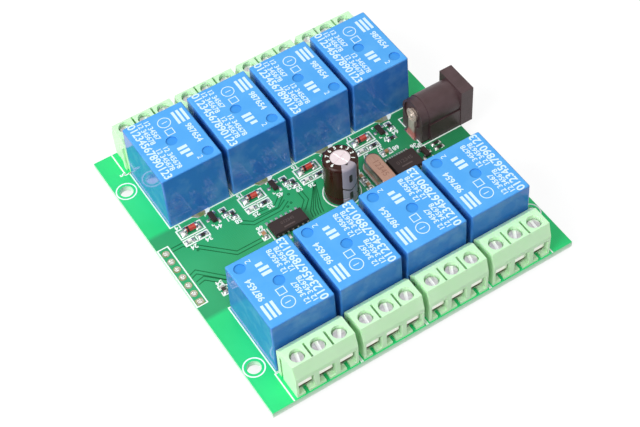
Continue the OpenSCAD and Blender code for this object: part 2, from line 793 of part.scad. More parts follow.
module regulator_body() {
    color("#3a2a26") at_regulator() sot_body();
}

module regulator_leads() {
    color("silver") at_regulator() sot_leads();
}

// ---------- chip resistors, ceramic capacitors and lamps ----------
module chip_part_body(size) {
    translate([0, 0, chip_skin])
        block([size[0] - 2 * chip_skin, size[1] - 2 * chip_skin, size[2] - 2 * chip_skin]);
}

module chip_part_ends(size) {
    difference() {
        for (s = [-1, 1]) translate([s * (size[0] - chip_end) / 2, 0, 0])
            block([chip_end, size[1], size[2]]);
        chip_part_body(size);
    }
}

// Puts children at places given as x, y and turn
module at_places(places) {
    for (p = places) translate([p[0], p[1], board_t]) rotate(p[2]) children();
}

module at_every_resistor() {
    at_every_driver(base_resistor_step) children();
    at_every_driver(bias_resistor_step, near_bias_resistor_step) children();
    at_every_driver(pull_resistor_step, near_pull_resistor_step) children();
    at_places(resistor_places) children();
}

module resistor_bodies() {
    color("#4a3b38") at_every_resistor() chip_part_body(chip_part);
}

module resistor_ends() {
    color("silver") at_every_resistor() chip_part_ends(chip_part);
}

module ceramic_bodies() {
    color("#b98a68") at_places(ceramic_places) chip_part_body(ceramic_part);
}

module ceramic_ends() {
    color("silver") at_places(ceramic_places) chip_part_ends(ceramic_part);
}

module lamp_bodies() {
    color("#f2efe6") at_every_driver(lamp_step) {
        chip_part_body(chip_part);
        translate([0, 0, chip_part[2] - chip_skin])
            block([chip_part[0] - 2 * chip_end - 2 * fit, chip_part[1] - 2 * chip_skin, lamp_lens_h]);
    }
}

module lamp_ends() {
    color("silver") at_every_driver(lamp_step) chip_part_ends(chip_part);
}

// ---------- solder joints ----------
// Joint under the board round one leg, base_r wide at the board and tip_r at the tip
module joint(base_r, tip_r) {
    rotate_extrude($fn = 24) polygon([
        [0, 0], [base_r, 0], [(base_r + tip_r) / 2, -joint_h / 5], [tip_r, -joint_h / 2],
        [tip_r, -joint_h + joint_dome], [tip_r - joint_dome, -joint_h], [0, -joint_h]
    ]);
}

// A joint round a leg of rectangular section
module flat_leg_joint(leg, base_r, tip_r) {
    difference() {
        joint(base_r, tip_r);
        translate([0, 0, -leg_cut]) block([leg[0], leg[1], leg_cut + eps]);
    }
}

// A joint round a wire of diameter d
module wire_joint(d, base_r, tip_r) {
    difference() {
        joint(base_r, tip_r);
        translate([0, 0, -leg_cut]) cylinder(d = d, h = leg_cut + eps);
    }
}

module solder_joints() {
    color("#cfcfcf") {
        translate([0, 0, -board_t]) {
            at_every_relay() for (p = relay_legs_xy) translate([p[0], p[1], 0])
                flat_leg_joint(relay_leg, joint_r, joint_tip_r);
            at_every_pole() translate([0, contact_y + contact_t / 2, 0])
                flat_leg_joint([contact_leg[0] - 2 * fit, contact_leg[1]], joint_r, joint_tip_r);
            at_jack() {
                translate([jack_recess[1] - jack_strip_t / 2, 0, 0])
                    flat_leg_joint([jack_strip_t, jack_strip_w], jack_joint_r, jack_joint_tip_r);
                translate([jack_spring_x, 0, 0])
                    flat_leg_joint([jack_strip_t, jack_leg_w], jack_joint_r, jack_joint_tip_r);
                translate([jack_switch_x, jack_w / 2 - jack_strip_t / 2, 0])
                    flat_leg_joint([jack_leg_w, jack_strip_t], jack_joint_r, jack_joint_tip_r);
            }
        }
        translate(cap_pos) for (s = [-1, 1]) translate([s * cap_lead_pitch / 2, 0, 0])
            wire_joint(cap_lead_d, joint_r, joint_tip_r);
        translate(crystal_pos) for (s = [-1, 1]) translate([0, s * crystal_lead_pitch / 2, 0])
            wire_joint(crystal_lead_d, joint_r, joint_tip_r);
    }
}

circuit_board();
relay_case(1);  // relay_case_1
relay_case(2);  // relay_case_2
relay_case(3);  // relay_case_3
relay_case(4);  // relay_case_4
relay_case(5);  // relay_case_5
relay_case(6);  // relay_case_6
relay_case(7);  // relay_case_7
relay_case(8);  // relay_case_8
relay_bases();
relay_legs();
terminal_housing(1);  // terminal_housing_1
terminal_housing(2);  // terminal_housing_2
terminal_housing(3);  // terminal_housing_3
terminal_housing(4);  // terminal_housing_4
terminal_housing(5);  // terminal_housing_5
terminal_housing(6);  // terminal_housing_6
terminal_housing(7);  // terminal_housing_7
terminal_housing(8);  // terminal_housing_8
terminal_screws();
terminal_wire_guards();
terminal_contacts();
jack_body();
jack_centre_pin();
jack_rear_contact();
jack_sleeve_spring();
jack_switch_contact();
capacitor_can();
capacitor_sleeve();
capacitor_bung();
capacitor_leads();
crystal_can();
crystal_base();
crystal_leads();
logic_chip_body();
logic_chip_leads();
controller_body();
controller_leads();
diode_glass();
diode_caps();
transistor_bodies();
transistor_leads();
regulator_body();
regulator_leads();
resistor_bodies();
resistor_ends();
ceramic_bodies();
ceramic_ends();
lamp_bodies();
lamp_ends();
solder_joints();
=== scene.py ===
import json
import math

import bmesh
import bpy
from mathutils import Matrix, Vector


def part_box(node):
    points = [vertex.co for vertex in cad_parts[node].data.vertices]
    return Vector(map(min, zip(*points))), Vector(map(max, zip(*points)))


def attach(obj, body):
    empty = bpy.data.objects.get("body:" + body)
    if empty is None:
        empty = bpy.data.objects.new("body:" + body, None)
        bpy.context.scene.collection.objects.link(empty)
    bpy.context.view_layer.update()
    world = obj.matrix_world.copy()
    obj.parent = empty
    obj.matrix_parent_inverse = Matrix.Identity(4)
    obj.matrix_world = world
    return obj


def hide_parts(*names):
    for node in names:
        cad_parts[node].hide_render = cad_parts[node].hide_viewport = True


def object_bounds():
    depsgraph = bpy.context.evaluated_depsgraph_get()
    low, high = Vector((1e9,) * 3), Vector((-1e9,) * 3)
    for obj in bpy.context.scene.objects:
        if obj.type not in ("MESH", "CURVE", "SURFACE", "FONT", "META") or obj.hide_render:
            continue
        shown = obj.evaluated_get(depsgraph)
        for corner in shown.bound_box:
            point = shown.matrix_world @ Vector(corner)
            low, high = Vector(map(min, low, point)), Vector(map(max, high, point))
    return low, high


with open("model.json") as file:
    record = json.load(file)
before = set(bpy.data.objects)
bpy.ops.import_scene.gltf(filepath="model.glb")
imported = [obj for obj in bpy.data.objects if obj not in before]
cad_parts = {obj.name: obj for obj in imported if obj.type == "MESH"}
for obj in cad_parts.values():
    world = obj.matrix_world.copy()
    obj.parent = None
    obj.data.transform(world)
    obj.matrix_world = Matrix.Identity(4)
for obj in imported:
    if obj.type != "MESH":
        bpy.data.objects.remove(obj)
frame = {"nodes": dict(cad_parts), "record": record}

cad_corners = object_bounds()


# ------------------------------------------------------------------ table, light and camera
# The board stands on a table top of matt white lacquered board, in a white tent. One large
# soft box hangs over the left of the table and a small one over the front.
# Lacquer scatters all light alike, so the table has no highlight.
MM = 0.001                       # the model is in metres
TABLE_SIZE = 6000
TENT_LIGHT = 0.54                # light that the tent gives to matt surfaces
TABLE_GLOW = 0.86                # light that comes up through the table into the lens


def linear(code):
    """The linear colour of an sRGB hex value, as the shaders take it."""
    parts = [int(code[i:i + 2], 16) / 255 for i in (1, 3, 5)]
    return (*[p / 12.92 if p <= 0.04045 else ((p + 0.055) / 1.055) ** 2.4 for p in parts], 1)


def add(tree, kind, inputs=None, **settings):
    """Adds a node with its settings; each input takes a value or the socket that feeds it."""
    made = tree.nodes.new(kind)
    for name, value in settings.items():
        setattr(made, name, value)
    for name, value in (inputs or {}).items():
        if isinstance(value, bpy.types.NodeSocket):
            tree.links.new(value, made.inputs[name])
        else:
            made.inputs[name].default_value = value
    return made


def new_material(name):
    """A material, its emptied node tree, and the place on the object that patterns go by."""
    material = bpy.data.materials.new(name)
    material.use_nodes = True
    tree = material.node_tree
    tree.nodes.clear()
    return material, tree, add(tree, "ShaderNodeTexCoord").outputs["Object"]


def seen_directly(tree):
    """1 for what the lens sees, straight on or in metal or glass, 0 for light on matt surfaces."""
    path = add(tree, "ShaderNodeLightPath").outputs
    seen = add(tree, "ShaderNodeMath", {0: path["Is Camera Ray"], 1: path["Is Glossy Ray"]},
               operation="MAXIMUM")
    return add(tree, "ShaderNodeMath", {0: seen.outputs[0], 1: path["Is Transmission Ray"]},
               operation="MAXIMUM").outputs[0]


# A tent wall seen by the lens is plain white; matt surfaces get less of it, so that their
# colours come out as they are. The wall is brighter on the left and behind the board.
WALL_SLANT = 0.38                # share by which its light rises and falls
world = bpy.data.worlds.new("white_tent")
bpy.context.scene.world = world
world.use_nodes = True
world.node_tree.nodes.clear()
tree = world.node_tree
side = add(tree, "ShaderNodeSeparateXYZ",
           {0: add(tree, "ShaderNodeTexCoord").outputs["Generated"]}).outputs
slant = add(tree, "ShaderNodeMath", {0: side["Y"], 1: side["X"]}, operation="SUBTRACT")
wall = add(tree, "ShaderNodeMapRange",
           {"Value": slant.outputs[0], "From Min": -1, "From Max": 1,
            "To Min": TENT_LIGHT * (1 - WALL_SLANT), "To Max": TENT_LIGHT * (1 + WALL_SLANT)})
level = add(tree, "ShaderNodeMapRange",
            {"Value": seen_directly(tree), "To Min": wall.outputs["Result"], "To Max": 1.0})
tent = add(tree, "ShaderNodeBackground",
           {"Color": (1, 1, 1, 1), "Strength": level.outputs["Result"]})
add(tree, "ShaderNodeOutputWorld", {"Surface": tent.outputs[0]})

# Matt white lacquer with a faint roller grain, 2 mm coarse. The lens sees it lit from below,
# so that only a soft shadow of the board is left on it.
lacquer, tree, place = new_material("white_lacquer")
grain = add(tree, "ShaderNodeTexNoise", {"Vector": place, "Scale": 1 / (2 * MM)})
relief = add(tree, "ShaderNodeBump",
             {"Height": grain.outputs[0], "Strength": 0.1, "Distance": 0.05 * MM})
matt = add(tree, "ShaderNodeBsdfDiffuse",
           {"Color": linear("#acacaa"), "Normal": relief.outputs["Normal"]})
shaded = add(tree, "ShaderNodeBsdfDiffuse", {"Color": linear("#767676")})
glow = add(tree, "ShaderNodeEmission", {"Strength": TABLE_GLOW})
lit = add(tree, "ShaderNodeAddShader", {0: shaded.outputs[0], 1: glow.outputs[0]})
both = add(tree, "ShaderNodeMixShader",
           {0: seen_directly(tree), 1: matt.outputs[0], 2: lit.outputs[0]})
add(tree, "ShaderNodeOutputMaterial", {"Surface": both.outputs[0]})

table_top = cad_corners[0].z
half = TABLE_SIZE / 2 * MM
mesh = bpy.data.meshes.new("table")
mesh.from_pydata([(-half, -half, table_top), (half, -half, table_top),
                  (half, half, table_top), (-half, half, table_top)], [], [(0, 1, 2, 3)])
table = bpy.data.objects.new("table", mesh)
bpy.context.scene.collection.objects.link(table)
table.data.materials.append(lacquer)

middle = (cad_corners[0] + cad_corners[1]) / 2


def soft_box(name, side, power, size):
    """A square lamp that hangs at a place given from the board's middle and faces it."""
    lamp = bpy.data.lights.new(name, "AREA")
    lamp.shape = "SQUARE"
    lamp.size = size * MM
    lamp.energy = power
    holder = bpy.data.objects.new(name, lamp)
    bpy.context.scene.collection.objects.link(holder)
    holder.location = middle + Vector(side) * MM
    holder.rotation_euler = Vector(side).to_track_quat("Z", "Y").to_euler()


soft_box("left_box", (-600, -100, 480), 5.3, 520)
soft_box("front_box", (-50, -420, 700), 1.4, 300)

# The camera looks down from the front left, from an arm's length, tipped a little
VIEW_POINT = (-5.2, -6.5, 8)     # on the board, mm
VIEW_DISTANCE = 319.3            # mm
VIEW_TURN = 28.72                # degrees to the right of straight back
VIEW_DROP = 52.03                # degrees below level
VIEW_ROLL = -4.72
camera = bpy.data.objects.new("camera", bpy.data.cameras.new("camera"))
bpy.context.scene.collection.objects.link(camera)
bpy.context.scene.camera = camera
camera.data.lens = 82.5
camera.data.sensor_width = 36
camera.data.clip_start = 10 * MM
turned = (Matrix.Rotation(math.radians(-VIEW_TURN), 4, "Z")
          @ Matrix.Rotation(math.radians(90 - VIEW_DROP), 4, "X")
          @ Matrix.Rotation(math.radians(VIEW_ROLL), 4, "Z"))
camera.matrix_world = (Matrix.Translation(Vector(VIEW_POINT) * MM) @ turned
                       @ Matrix.Translation((0, 0, VIEW_DISTANCE * MM)))
bpy.context.scene.view_settings.view_transform = "Standard"


# ------------------------------------------------------------------ circuit board
# Glass-epoxy laminate with copper on both sides under a green solder mask. The mask is a thin
# gloss lacquer: it is deep green over the copper between the relay rows, and bright where only
# pale laminate lies under it. The sawn edges show the bare laminate and its layers of glass.
def corners(name):
    """Low and high corners of a CAD node, in mm."""
    return [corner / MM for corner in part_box(name)]


board_low, board_high = corners("circuit_board")
top = board_high.z
inner_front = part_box("relay_case_5")[1].y
inner_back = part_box("relay_case_1")[0].y
POUR_IN, POUR_OUT = 0.9, 0.3     # mm inside and outside the rows, where the copper fades out
GLASS_WEAVE = 0.45               # mm between threads of the glass cloth
GLASS_LAYER = 0.2                # mm between layers of the cloth
ONE_BAND = 0.314                 # scale at which a wave has one band a metre

mask, tree, place = new_material("solder_mask")
spot = add(tree, "ShaderNodeSeparateXYZ", {0: place}).outputs
facing = add(tree, "ShaderNodeSeparateXYZ",
             {0: add(tree, "ShaderNodeNewGeometry").outputs["Normal"]}).outputs
# 1 over the copper pour between the rows, 0 elsewhere
off_middle = add(tree, "ShaderNodeMath",
                 {0: spot["Y"], 1: (inner_front + inner_back) / 2}, operation="SUBTRACT")
off_middle = add(tree, "ShaderNodeMath", {0: off_middle.outputs[0]}, operation="ABSOLUTE")
pour = add(tree, "ShaderNodeMapRange",
           {"Value": off_middle.outputs[0],
            "From Min": (inner_back - inner_front) / 2 - POUR_IN * MM,
            "From Max": (inner_back - inner_front) / 2 + POUR_OUT * MM, "To Min": 1, "To Max": 0})
cloud = add(tree, "ShaderNodeTexNoise", {"Vector": place, "Scale": 1 / (14 * MM), "Detail": 3})
over_copper = add(tree, "ShaderNodeMixRGB", {"Fac": cloud.outputs[0], "Color1": linear("#259558"),
                                             "Color2": linear("#3cb179")})
# the green deepens towards the jack
deep = add(tree, "ShaderNodeMapRange", {"Value": spot["X"], "From Min": 2 * MM,
                                        "From Max": 32 * MM, "To Min": 0, "To Max": 0.75})
over_copper = add(tree, "ShaderNodeMixRGB",
                  {"Fac": deep.outputs["Result"], "Color1": over_copper.outputs[0],
                   "Color2": linear("#26774a")})
over_glass = add(tree, "ShaderNodeMixRGB", {"Fac": cloud.outputs[0], "Color1": linear("#20c56f"),
                                            "Color2": linear("#36dd88")})
green = add(tree, "ShaderNodeMixRGB",
            {"Fac": pour.outputs["Result"], "Color1": over_glass.outputs[0],
             "Color2": over_copper.outputs[0]})
warp = add(tree, "ShaderNodeTexWave", {"Vector": place, "Scale": ONE_BAND / (GLASS_WEAVE * MM)},
           bands_direction="X")
weft = add(tree, "ShaderNodeTexWave", {"Vector": place, "Scale": ONE_BAND / (GLASS_WEAVE * MM)},
           bands_direction="Y")
cloth = add(tree, "ShaderNodeMath", {0: warp.outputs["Fac"], 1: weft.outputs["Fac"]},
            operation="MULTIPLY")
woven = add(tree, "ShaderNodeMixRGB",
            {"Fac": 0.08, "Color1": green.outputs[0], "Color2": cloth.outputs[0]},
            blend_type="OVERLAY")
layers = add(tree, "ShaderNodeTexWave", {"Vector": place, "Scale": ONE_BAND / (GLASS_LAYER * MM),
                                         "Distortion": 3.0, "Detail Scale": 0.5},
             bands_direction="Z")
# the sawn edges are painted nearly white towards the bottom: a painted glow of light that the
# edges, facing down and out, do not get; the layers of glass in them are their own
height = add(tree, "ShaderNodeMapRange",
             {"Value": spot["Z"], "From Min": board_low.z * MM, "From Max": top * MM})
sawn_low_glow = add(tree, "ShaderNodeMixRGB",
               {"Fac": layers.outputs["Fac"], "Color1": linear("#e4ffe9"),
                "Color2": linear("#f6fff7")})
sawn = add(tree, "ShaderNodeMixRGB",
           {"Fac": height.outputs["Result"], "Color1": sawn_low_glow.outputs[0],
            "Color2": linear("#a6e6b9")})
upright = add(tree, "ShaderNodeMath", {0: facing["Z"]}, operation="ABSOLUTE")
flat = add(tree, "ShaderNodeMath", {0: upright.outputs[0], 1: 0.5}, operation="GREATER_THAN")
colour = add(tree, "ShaderNodeMixRGB",
             {"Fac": flat.outputs[0], "Color1": sawn.outputs[0], "Color2": woven.outputs[0]})
gloss = add(tree, "ShaderNodeMapRange",
            {"Value": flat.outputs[0], "To Min": 0.7, "To Max": 0.3})
ripple = add(tree, "ShaderNodeTexNoise", {"Vector": place, "Scale": 1 / (0.6 * MM)})
relief = add(tree, "ShaderNodeBump",
             {"Height": ripple.outputs[0], "Strength": 0.35, "Distance": 0.02 * MM})
shader = add(tree, "ShaderNodeBsdfPrincipled",
             {"Base Color": colour.outputs[0], "Roughness": gloss.outputs["Result"],
              "Specular IOR Level": 0.25, "Normal": relief.outputs["Normal"]})
add(tree, "ShaderNodeOutputMaterial", {"Surface": shader.outputs[0]})


def dress(material, *names):
    """Gives CAD nodes a material."""
    for name in names:
        node = frame["nodes"][name]
        node.data.materials.clear()
        node.data.materials.append(material)


dress(mask, "circuit_board")


def piece(name, bm, material, smooth=None):
    """Turns a mesh drawn in mm into a piece of the board, smooth below an angle in degrees."""
    bmesh.ops.recalc_face_normals(bm, faces=bm.faces)
    bm.transform(Matrix.Scale(MM, 4))
    mesh = bpy.data.meshes.new(name)
    bm.to_mesh(mesh)
    bm.free()
    mesh.materials.append(material)
    if smooth:
        mesh.shade_smooth()
        mesh.set_sharp_from_angle(angle=math.radians(smooth))
    made = bpy.data.objects.new(name, mesh)
    bpy.context.scene.collection.objects.link(made)
    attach(made, "root")
    return made


def solids(name):
    """Middles and sizes, in mm, of the separate solids in a CAD node, from the front left."""
    bm = bmesh.new()
    bm.from_mesh(frame["nodes"][name].data)
    bmesh.ops.remove_doubles(bm, verts=bm.verts, dist=1e-6)
    found, seen = [], set()
    for first in bm.verts:
        if first in seen:
            continue
        seen.add(first)
        group = [first]
        for vert in group:
            for edge in vert.link_edges:
                other = edge.other_vert(vert)
                if other not in seen:
                    seen.add(other)
                    group.append(other)
        low = Vector([min(v.co[k] for v in group) for k in range(3)]) / MM
        high = Vector([max(v.co[k] for v in group) for k in range(3)]) / MM
        found.append(((low + high) / 2, high - low))
    bm.free()
    return sorted(found, key=lambda one: (round(one[0].y, 1), round(one[0].x, 1)))


def strip(bm, points, width, low, high, closed=False):
    """A flat strip of even width along points in plan, from one height to another."""
    points = [Vector(p) for p in points]
    count = len(points)
    rings = []
    for i, point in enumerate(points):
        ways = []
        if closed or i > 0:
            ways.append((point - points[i - 1]).normalized())
        if closed or i < count - 1:
            ways.append((points[(i + 1) % count] - point).normalized())
        along = sum(ways, Vector((0, 0))).normalized()
        across = Vector((-along.y, along.x)) * width / 2 / max(0.3, along.dot(ways[0]))
        rings.append([bm.verts.new((*(point + side * across), z))
                      for side, z in ((1, low), (1, high), (-1, high), (-1, low))])
    for i in range(count if closed else count - 1):
        here, there = rings[i], rings[(i + 1) % count]
        for k in range(4):
            bm.faces.new((here[k], there[k], there[(k + 1) % 4], here[(k + 1) % 4]))
    if not closed:
        bm.faces.new(rings[0])
        bm.faces.new(rings[-1])


def rectangle(low, high):
    """Corners in plan of an upright rectangle."""
    return [(low[0], low[1]), (high[0], low[1]), (high[0], high[1]), (low[0], high[1])]


def stack(bm, outlines):
    """A closed solid through outlines in plan, each with its height."""
    rings = [[bm.verts.new((x, y, z)) for x, y in outline] for outline, z in outlines]
    bm.faces.new(rings[0])
    bm.faces.new(rings[-1])
    for lower, upper in zip(rings, rings[1:]):
        for i in range(len(lower)):
            j = (i + 1) % len(lower)
            bm.faces.new((lower[i], lower[j], upper[j], upper[i]))


def prism(bm, outline, low, high):
    """A straight block over an outline in plan."""
    stack(bm, [(outline, low), (outline, high)])


def lathe(bm, centre, profile, sides=32, square=False):
    """A ring turned from a closed profile of radius and height, round a centre in plan.
    A square one has its points of largest radius pulled out to a square."""
    widest = max(r for r, z in profile)
    rings = []
    for k in range(sides):
        a = 2 * math.pi * (k + 0.5) / sides
        corner = 1 / max(abs(math.cos(a)), abs(math.sin(a))) if square else 1
        rings.append([bm.verts.new((centre[0] + math.cos(a) * r * (corner if r == widest else 1),
                                    centre[1] + math.sin(a) * r * (corner if r == widest else 1),
                                    z)) for r, z in profile])
    for k in range(sides):
        here, there = rings[k], rings[(k + 1) % sides]
        for i in range(len(profile)):
            j = (i + 1) % len(profile)
            bm.faces.new((here[i], there[i], there[j], here[j]))


def circle_points(centre, radius, sides=32, start=0.0):
    """Points of a circle in plan; start turns it, in radians."""
    return [(centre[0] + radius * math.cos(start + 2 * math.pi * k / sides),
             centre[1] + radius * math.sin(start + 2 * math.pi * k / sides)) for k in range(sides)]


def clouded(name, grain, low, high, finish, bump=None):
    """A material whose two colours meet in soft clouds of a size in mm. finish holds the
    shader's own values; bump is the strength and the height in mm of the clouds' relief."""
    material, tree, place = new_material(name)
    cloud = add(tree, "ShaderNodeTexNoise", {"Vector": place, "Scale": 1 / (grain * MM)})
    tone = add(tree, "ShaderNodeMixRGB",
               {"Fac": cloud.outputs[0], "Color1": linear(low), "Color2": linear(high)})
    shader = add(tree, "ShaderNodeBsdfPrincipled", {"Base Color": tone.outputs[0], **finish})
    if bump:
        relief = add(tree, "ShaderNodeBump",
                     {"Height": cloud.outputs[0], "Strength": bump[0], "Distance": bump[1] * MM})
        tree.links.new(relief.outputs["Normal"], shader.inputs["Normal"])
    add(tree, "ShaderNodeOutputMaterial", {"Surface": shader.outputs[0]})
    return material


# Dark lines in the mask: gaps etched round the tracks, where no copper backs the lacquer.
# Each track is a pair of such lines.
etched = clouded("etched_gap", 3, "#125a33", "#1f7a48",
                 {"Roughness": 0.4, "Specular IOR Level": 0.2})

SEAT = 0.01                      # mm that thin pieces are sunk into what carries them
GAP_T = 0.012                    # they stand this far above the mask
GAP_W = 0.26                     # mm, width of an etched gap
TRACK_W = 0.95                   # between the middles of a track's two gaps
# Tracks in plan, in mm from the board's middle
TRACKS = [
    [(-35.2, 7.8), (-32.4, 7.8), (-30.8, 6.2), (-23.6, -1.0), (-17.0, -1.0)],
    [(-35.4, -0.9), (-33.7, -0.3), (-28.4, -6.0)],
    [(-34.9, -3.2), (-33.0, -2.8), (-29.0, -6.9)],
    [(-19.2, 6.3), (-16.4, 4.0), (-9.4, 4.0), (-7.0, 5.4)],
    [(-14.8, 5.6), (-9.8, 5.2), (-7.2, 7.4)],
    [(-3.2, 6.4), (-3.2, 3.0), (-5.2, 1.0)],
]
# Single lines: the parallel tracks that run up to the right beside the logic chip
FAN = [[(-4.6 + 0.7 * k, -2.2), (-4.2 + 0.7 * k, -0.4), (0.2 + 0.25 * k, 5.4 + 0.2 * k)]
       for k in range(5)]
bm = bmesh.new()
for track in TRACKS:
    points = [Vector(p) for p in track]
    for side in (-1, 1):
        shifted = []
        for i, point in enumerate(points):
            ways = [(b - a).normalized() for a, b in zip(points, points[1:])][max(0, i - 1):i + 1]
            along = sum(ways, Vector((0, 0))).normalized()
            across = Vector((-along.y, along.x)) / max(0.3, along.dot(ways[0]))
            shifted.append(point + side * across * TRACK_W / 2)
        strip(bm, shifted, GAP_W, top - SEAT, top + GAP_T)
for route in FAN:
    strip(bm, route, GAP_W, top - SEAT, top + GAP_T)
piece("track_gaps", bm, etched)

# Tinned copper: pads, legs and plated holes, hot-dipped, so the metal is bright and uneven
tinned, tree, place = new_material("tinned_copper")
cloud = add(tree, "ShaderNodeTexNoise", {"Vector": place, "Scale": 1 / (0.5 * MM), "Detail": 3})
tone = add(tree, "ShaderNodeMixRGB",
           {"Fac": cloud.outputs[0], "Color1": linear("#9d9b97"), "Color2": linear("#e2e0dc")})
gloss = add(tree, "ShaderNodeMapRange",
            {"Value": cloud.outputs[0], "To Min": 0.18, "To Max": 0.42})
relief = add(tree, "ShaderNodeBump",
             {"Height": cloud.outputs[0], "Strength": 0.5, "Distance": 0.03 * MM})
shader = add(tree, "ShaderNodeBsdfPrincipled",
             {"Base Color": tone.outputs[0], "Metallic": 1.0, "Roughness": gloss.outputs["Result"],
              "Normal": relief.outputs["Normal"]})
add(tree, "ShaderNodeOutputMaterial", {"Surface": shader.outputs[0]})

# Thin tinning, levelled with hot air, in olive and greyish patches; the olive is a painted
# reflection on the shiny lands
tin_with_painted_reflection, tree, place = new_material("levelled_tin")
cloud = add(tree, "ShaderNodeTexNoise", {"Vector": place, "Scale": 1 / (1.6 * MM), "Detail": 2})
patch = add(tree, "ShaderNodeMapRange",
            {"Value": cloud.outputs[0], "From Min": 0.42, "From Max": 0.58})
tone = add(tree, "ShaderNodeMixRGB", {"Fac": patch.outputs["Result"],
                                      "Color1": linear("#8c9a5a"), "Color2": linear("#b3ae96")})
relief = add(tree, "ShaderNodeBump",
             {"Height": cloud.outputs[0], "Strength": 0.5, "Distance": 0.05 * MM})
shader = add(tree, "ShaderNodeBsdfPrincipled",
             {"Base Color": tone.outputs[0], "Metallic": 0.4, "Roughness": 0.4,
              "Normal": relief.outputs["Normal"]})
add(tree, "ShaderNodeOutputMaterial", {"Surface": shader.outputs[0]})

# The barrels of the header's holes: thick new tin, which shines almost white
new_tin = clouded("new_tin", 0.4, "#eeece8", "#fdfcfa", {"Metallic": 1.0, "Roughness": 0.25})

# Header row: seven plated holes, the front one with a square land
header = [m for m in frame["record"]["mounts"] if m["name"] == "header_holes"][0]
header_x = header["pos_m"][0] / MM
header_r = header["dims"]["hole_r_mm"]
header_count = header["dims"]["count"]
HEADER_PITCH = 2.54
header_span = HEADER_PITCH * (header_count - 1)
LAND_R = 0.9
RIM_R, RIM_T = 0.7, 0.02         # rolled rim of a barrel, over the land
RIM_DEPTH = 0.1                  # it starts this deep in the hole
PLATE = 0.04                     # thickness of plated metal
inner = header_r - PLATE
lands, barrels = bmesh.new(), bmesh.new()
for k in range(header_count):
    spot = (header_x, HEADER_PITCH * k - header_span / 2)
    for low, high in ((board_low.z - PLATE, board_low.z), (top, top + PLATE)):
        lathe(lands, spot, [(header_r, low), (LAND_R, low), (LAND_R, high), (header_r, high)],
              32, square=k == 0)
    lathe(barrels, spot,
          [(inner, board_low.z + RIM_DEPTH), (RIM_R, board_low.z - PLATE - RIM_T),
           (header_r, board_low.z), (header_r, top), (RIM_R, top + PLATE + RIM_T),
           (inner, top - RIM_DEPTH)], 32)
piece("header_lands", lands, tin_with_painted_reflection, 40)
piece("header_barrels", barrels, new_tin, 50)

# Vias: small plated holes, filled by the mask
VIAS = [(-7.7, 3.65), (-6.5, 4.2), (-12.9, 6.6), (-5.7, 6.6), (-30.4, 4.6), (33.6, 9.5)]
VIA_PROFILE = [(0.12, -0.05), (0.34, 0), (0.32, 0.03), (0.12, 0.03)]
bm = bmesh.new()
for spot in VIAS:
    lathe(bm, spot, [(r, top + z) for r, z in VIA_PROFILE], 16)
piece("vias", bm, etched, 40)

# Each relay's switched contact has a broad octagonal land that shows past the case's inner end
CONTACT_LAND = 5.0               # mm across flats
CONTACT_LAND_X = -0.25           # from the middle of the case
CONTACT_LAND_IN = 1.25           # from the inner end of the case to the land's middle
EIGHTH = math.pi / 8
bm = bmesh.new()
for k in range(1, 9):
    low, high = corners(f"relay_case_{k}")
    way = 1 if low.y > 0 else -1
    spot = ((low.x + high.x) / 2 + way * CONTACT_LAND_X,
            (low.y if way > 0 else high.y) + way * CONTACT_LAND_IN)
    prism(bm, circle_points(spot, CONTACT_LAND / 2 / math.cos(EIGHTH), 8, EIGHTH),
          top - SEAT, top + PLATE)
piece("contact_lands", bm, tin_with_painted_reflection)

# Lands on the underside, one round each soldered leg
UNDER_LAND_RIM = 0.3             # past the joint
bm = bmesh.new()
for spot, size in solids("solder_joints"):
    joint_r = max(size.x, size.y) / 2
    land_r = joint_r + UNDER_LAND_RIM
    lathe(bm, spot, [(joint_r / 2, board_low.z - PLATE), (land_r, board_low.z - PLATE),
                     (land_r, board_low.z + SEAT), (joint_r / 2, board_low.z + SEAT)], 24)
piece("underside_lands", bm, tinned, 40)

# Printed legend: white epoxy ink, a little proud of the mask and faintly uneven from the
# print screen. It frames the places of the parts, and most have a plain number.
ink = clouded("legend_ink", 0.15, "#dfeee4", "#fbfffb", {"Roughness": 0.55})

INK_T = 0.02
LINE_W = 0.3                     # mm; diodes have bolder frames, transistors finer ones
BOLD_W, FINE_W = 0.35, 0.26
LABEL_H = 1.15
HOLE_RING_R = 2.33
HEADER_FRAME = ((-1.19, -1.0), (1.35, 1.65))            # its corners, past the ends of the row
FRAME_OFF = 0.25                 # relays' frames stand off their cases
FRAME_END = 0.85                 # their open ends reach this far in past that
LAND_SIDE = 1.05                 # half the open gap, as wide as a side of the contact's land


def number(bm, text, centre, height, low, high, turn=0, bold=0.0):
    """Plain figures, centred on a place in plan and turned by degrees; bold widens their
    strokes by a share of the height."""
    curve = bpy.data.curves.new("figures", "FONT")
    curve.body = text
    curve.size = height * 1.42       # the font's figures are 0.7 of its size
    curve.align_x = "CENTER"
    curve.align_y = "CENTER"
    curve.offset = height * bold
    curve.resolution_u = 3
    curve.extrude = (high - low) / 2
    holder = bpy.data.objects.new("figures", curve)
    mesh = bpy.data.meshes.new_from_object(holder)
    mesh.transform(Matrix.Translation((*centre, (low + high) / 2))
                   @ Matrix.Rotation(math.radians(turn), 4, "Z"))
    bm.from_mesh(mesh)
    bpy.data.meshes.remove(mesh)
    bpy.data.objects.remove(holder)
    bpy.data.curves.remove(curve)


legend = bmesh.new()


def line(points, width=LINE_W, closed=False):
    """A line of the legend."""
    strip(legend, points, width, top - SEAT, top + INK_T, closed)


def label(text, x, y, turn=180, height=LABEL_H):
    """A number of the legend."""
    number(legend, text, (x, y), height, top - SEAT, top + INK_T, turn, 0.05)


# rings round the mounting holes
holes = [m for m in frame["record"]["mounts"] if m["name"] == "mounting_holes"][0]
for sx in (-1, 1):
    for sy in (-1, 1):
        spot = (sx * holes["dims"]["spacing_x_mm"] / 2, sy * holes["dims"]["spacing_y_mm"] / 2)
        line(circle_points(spot, HOLE_RING_R, 48), closed=True)

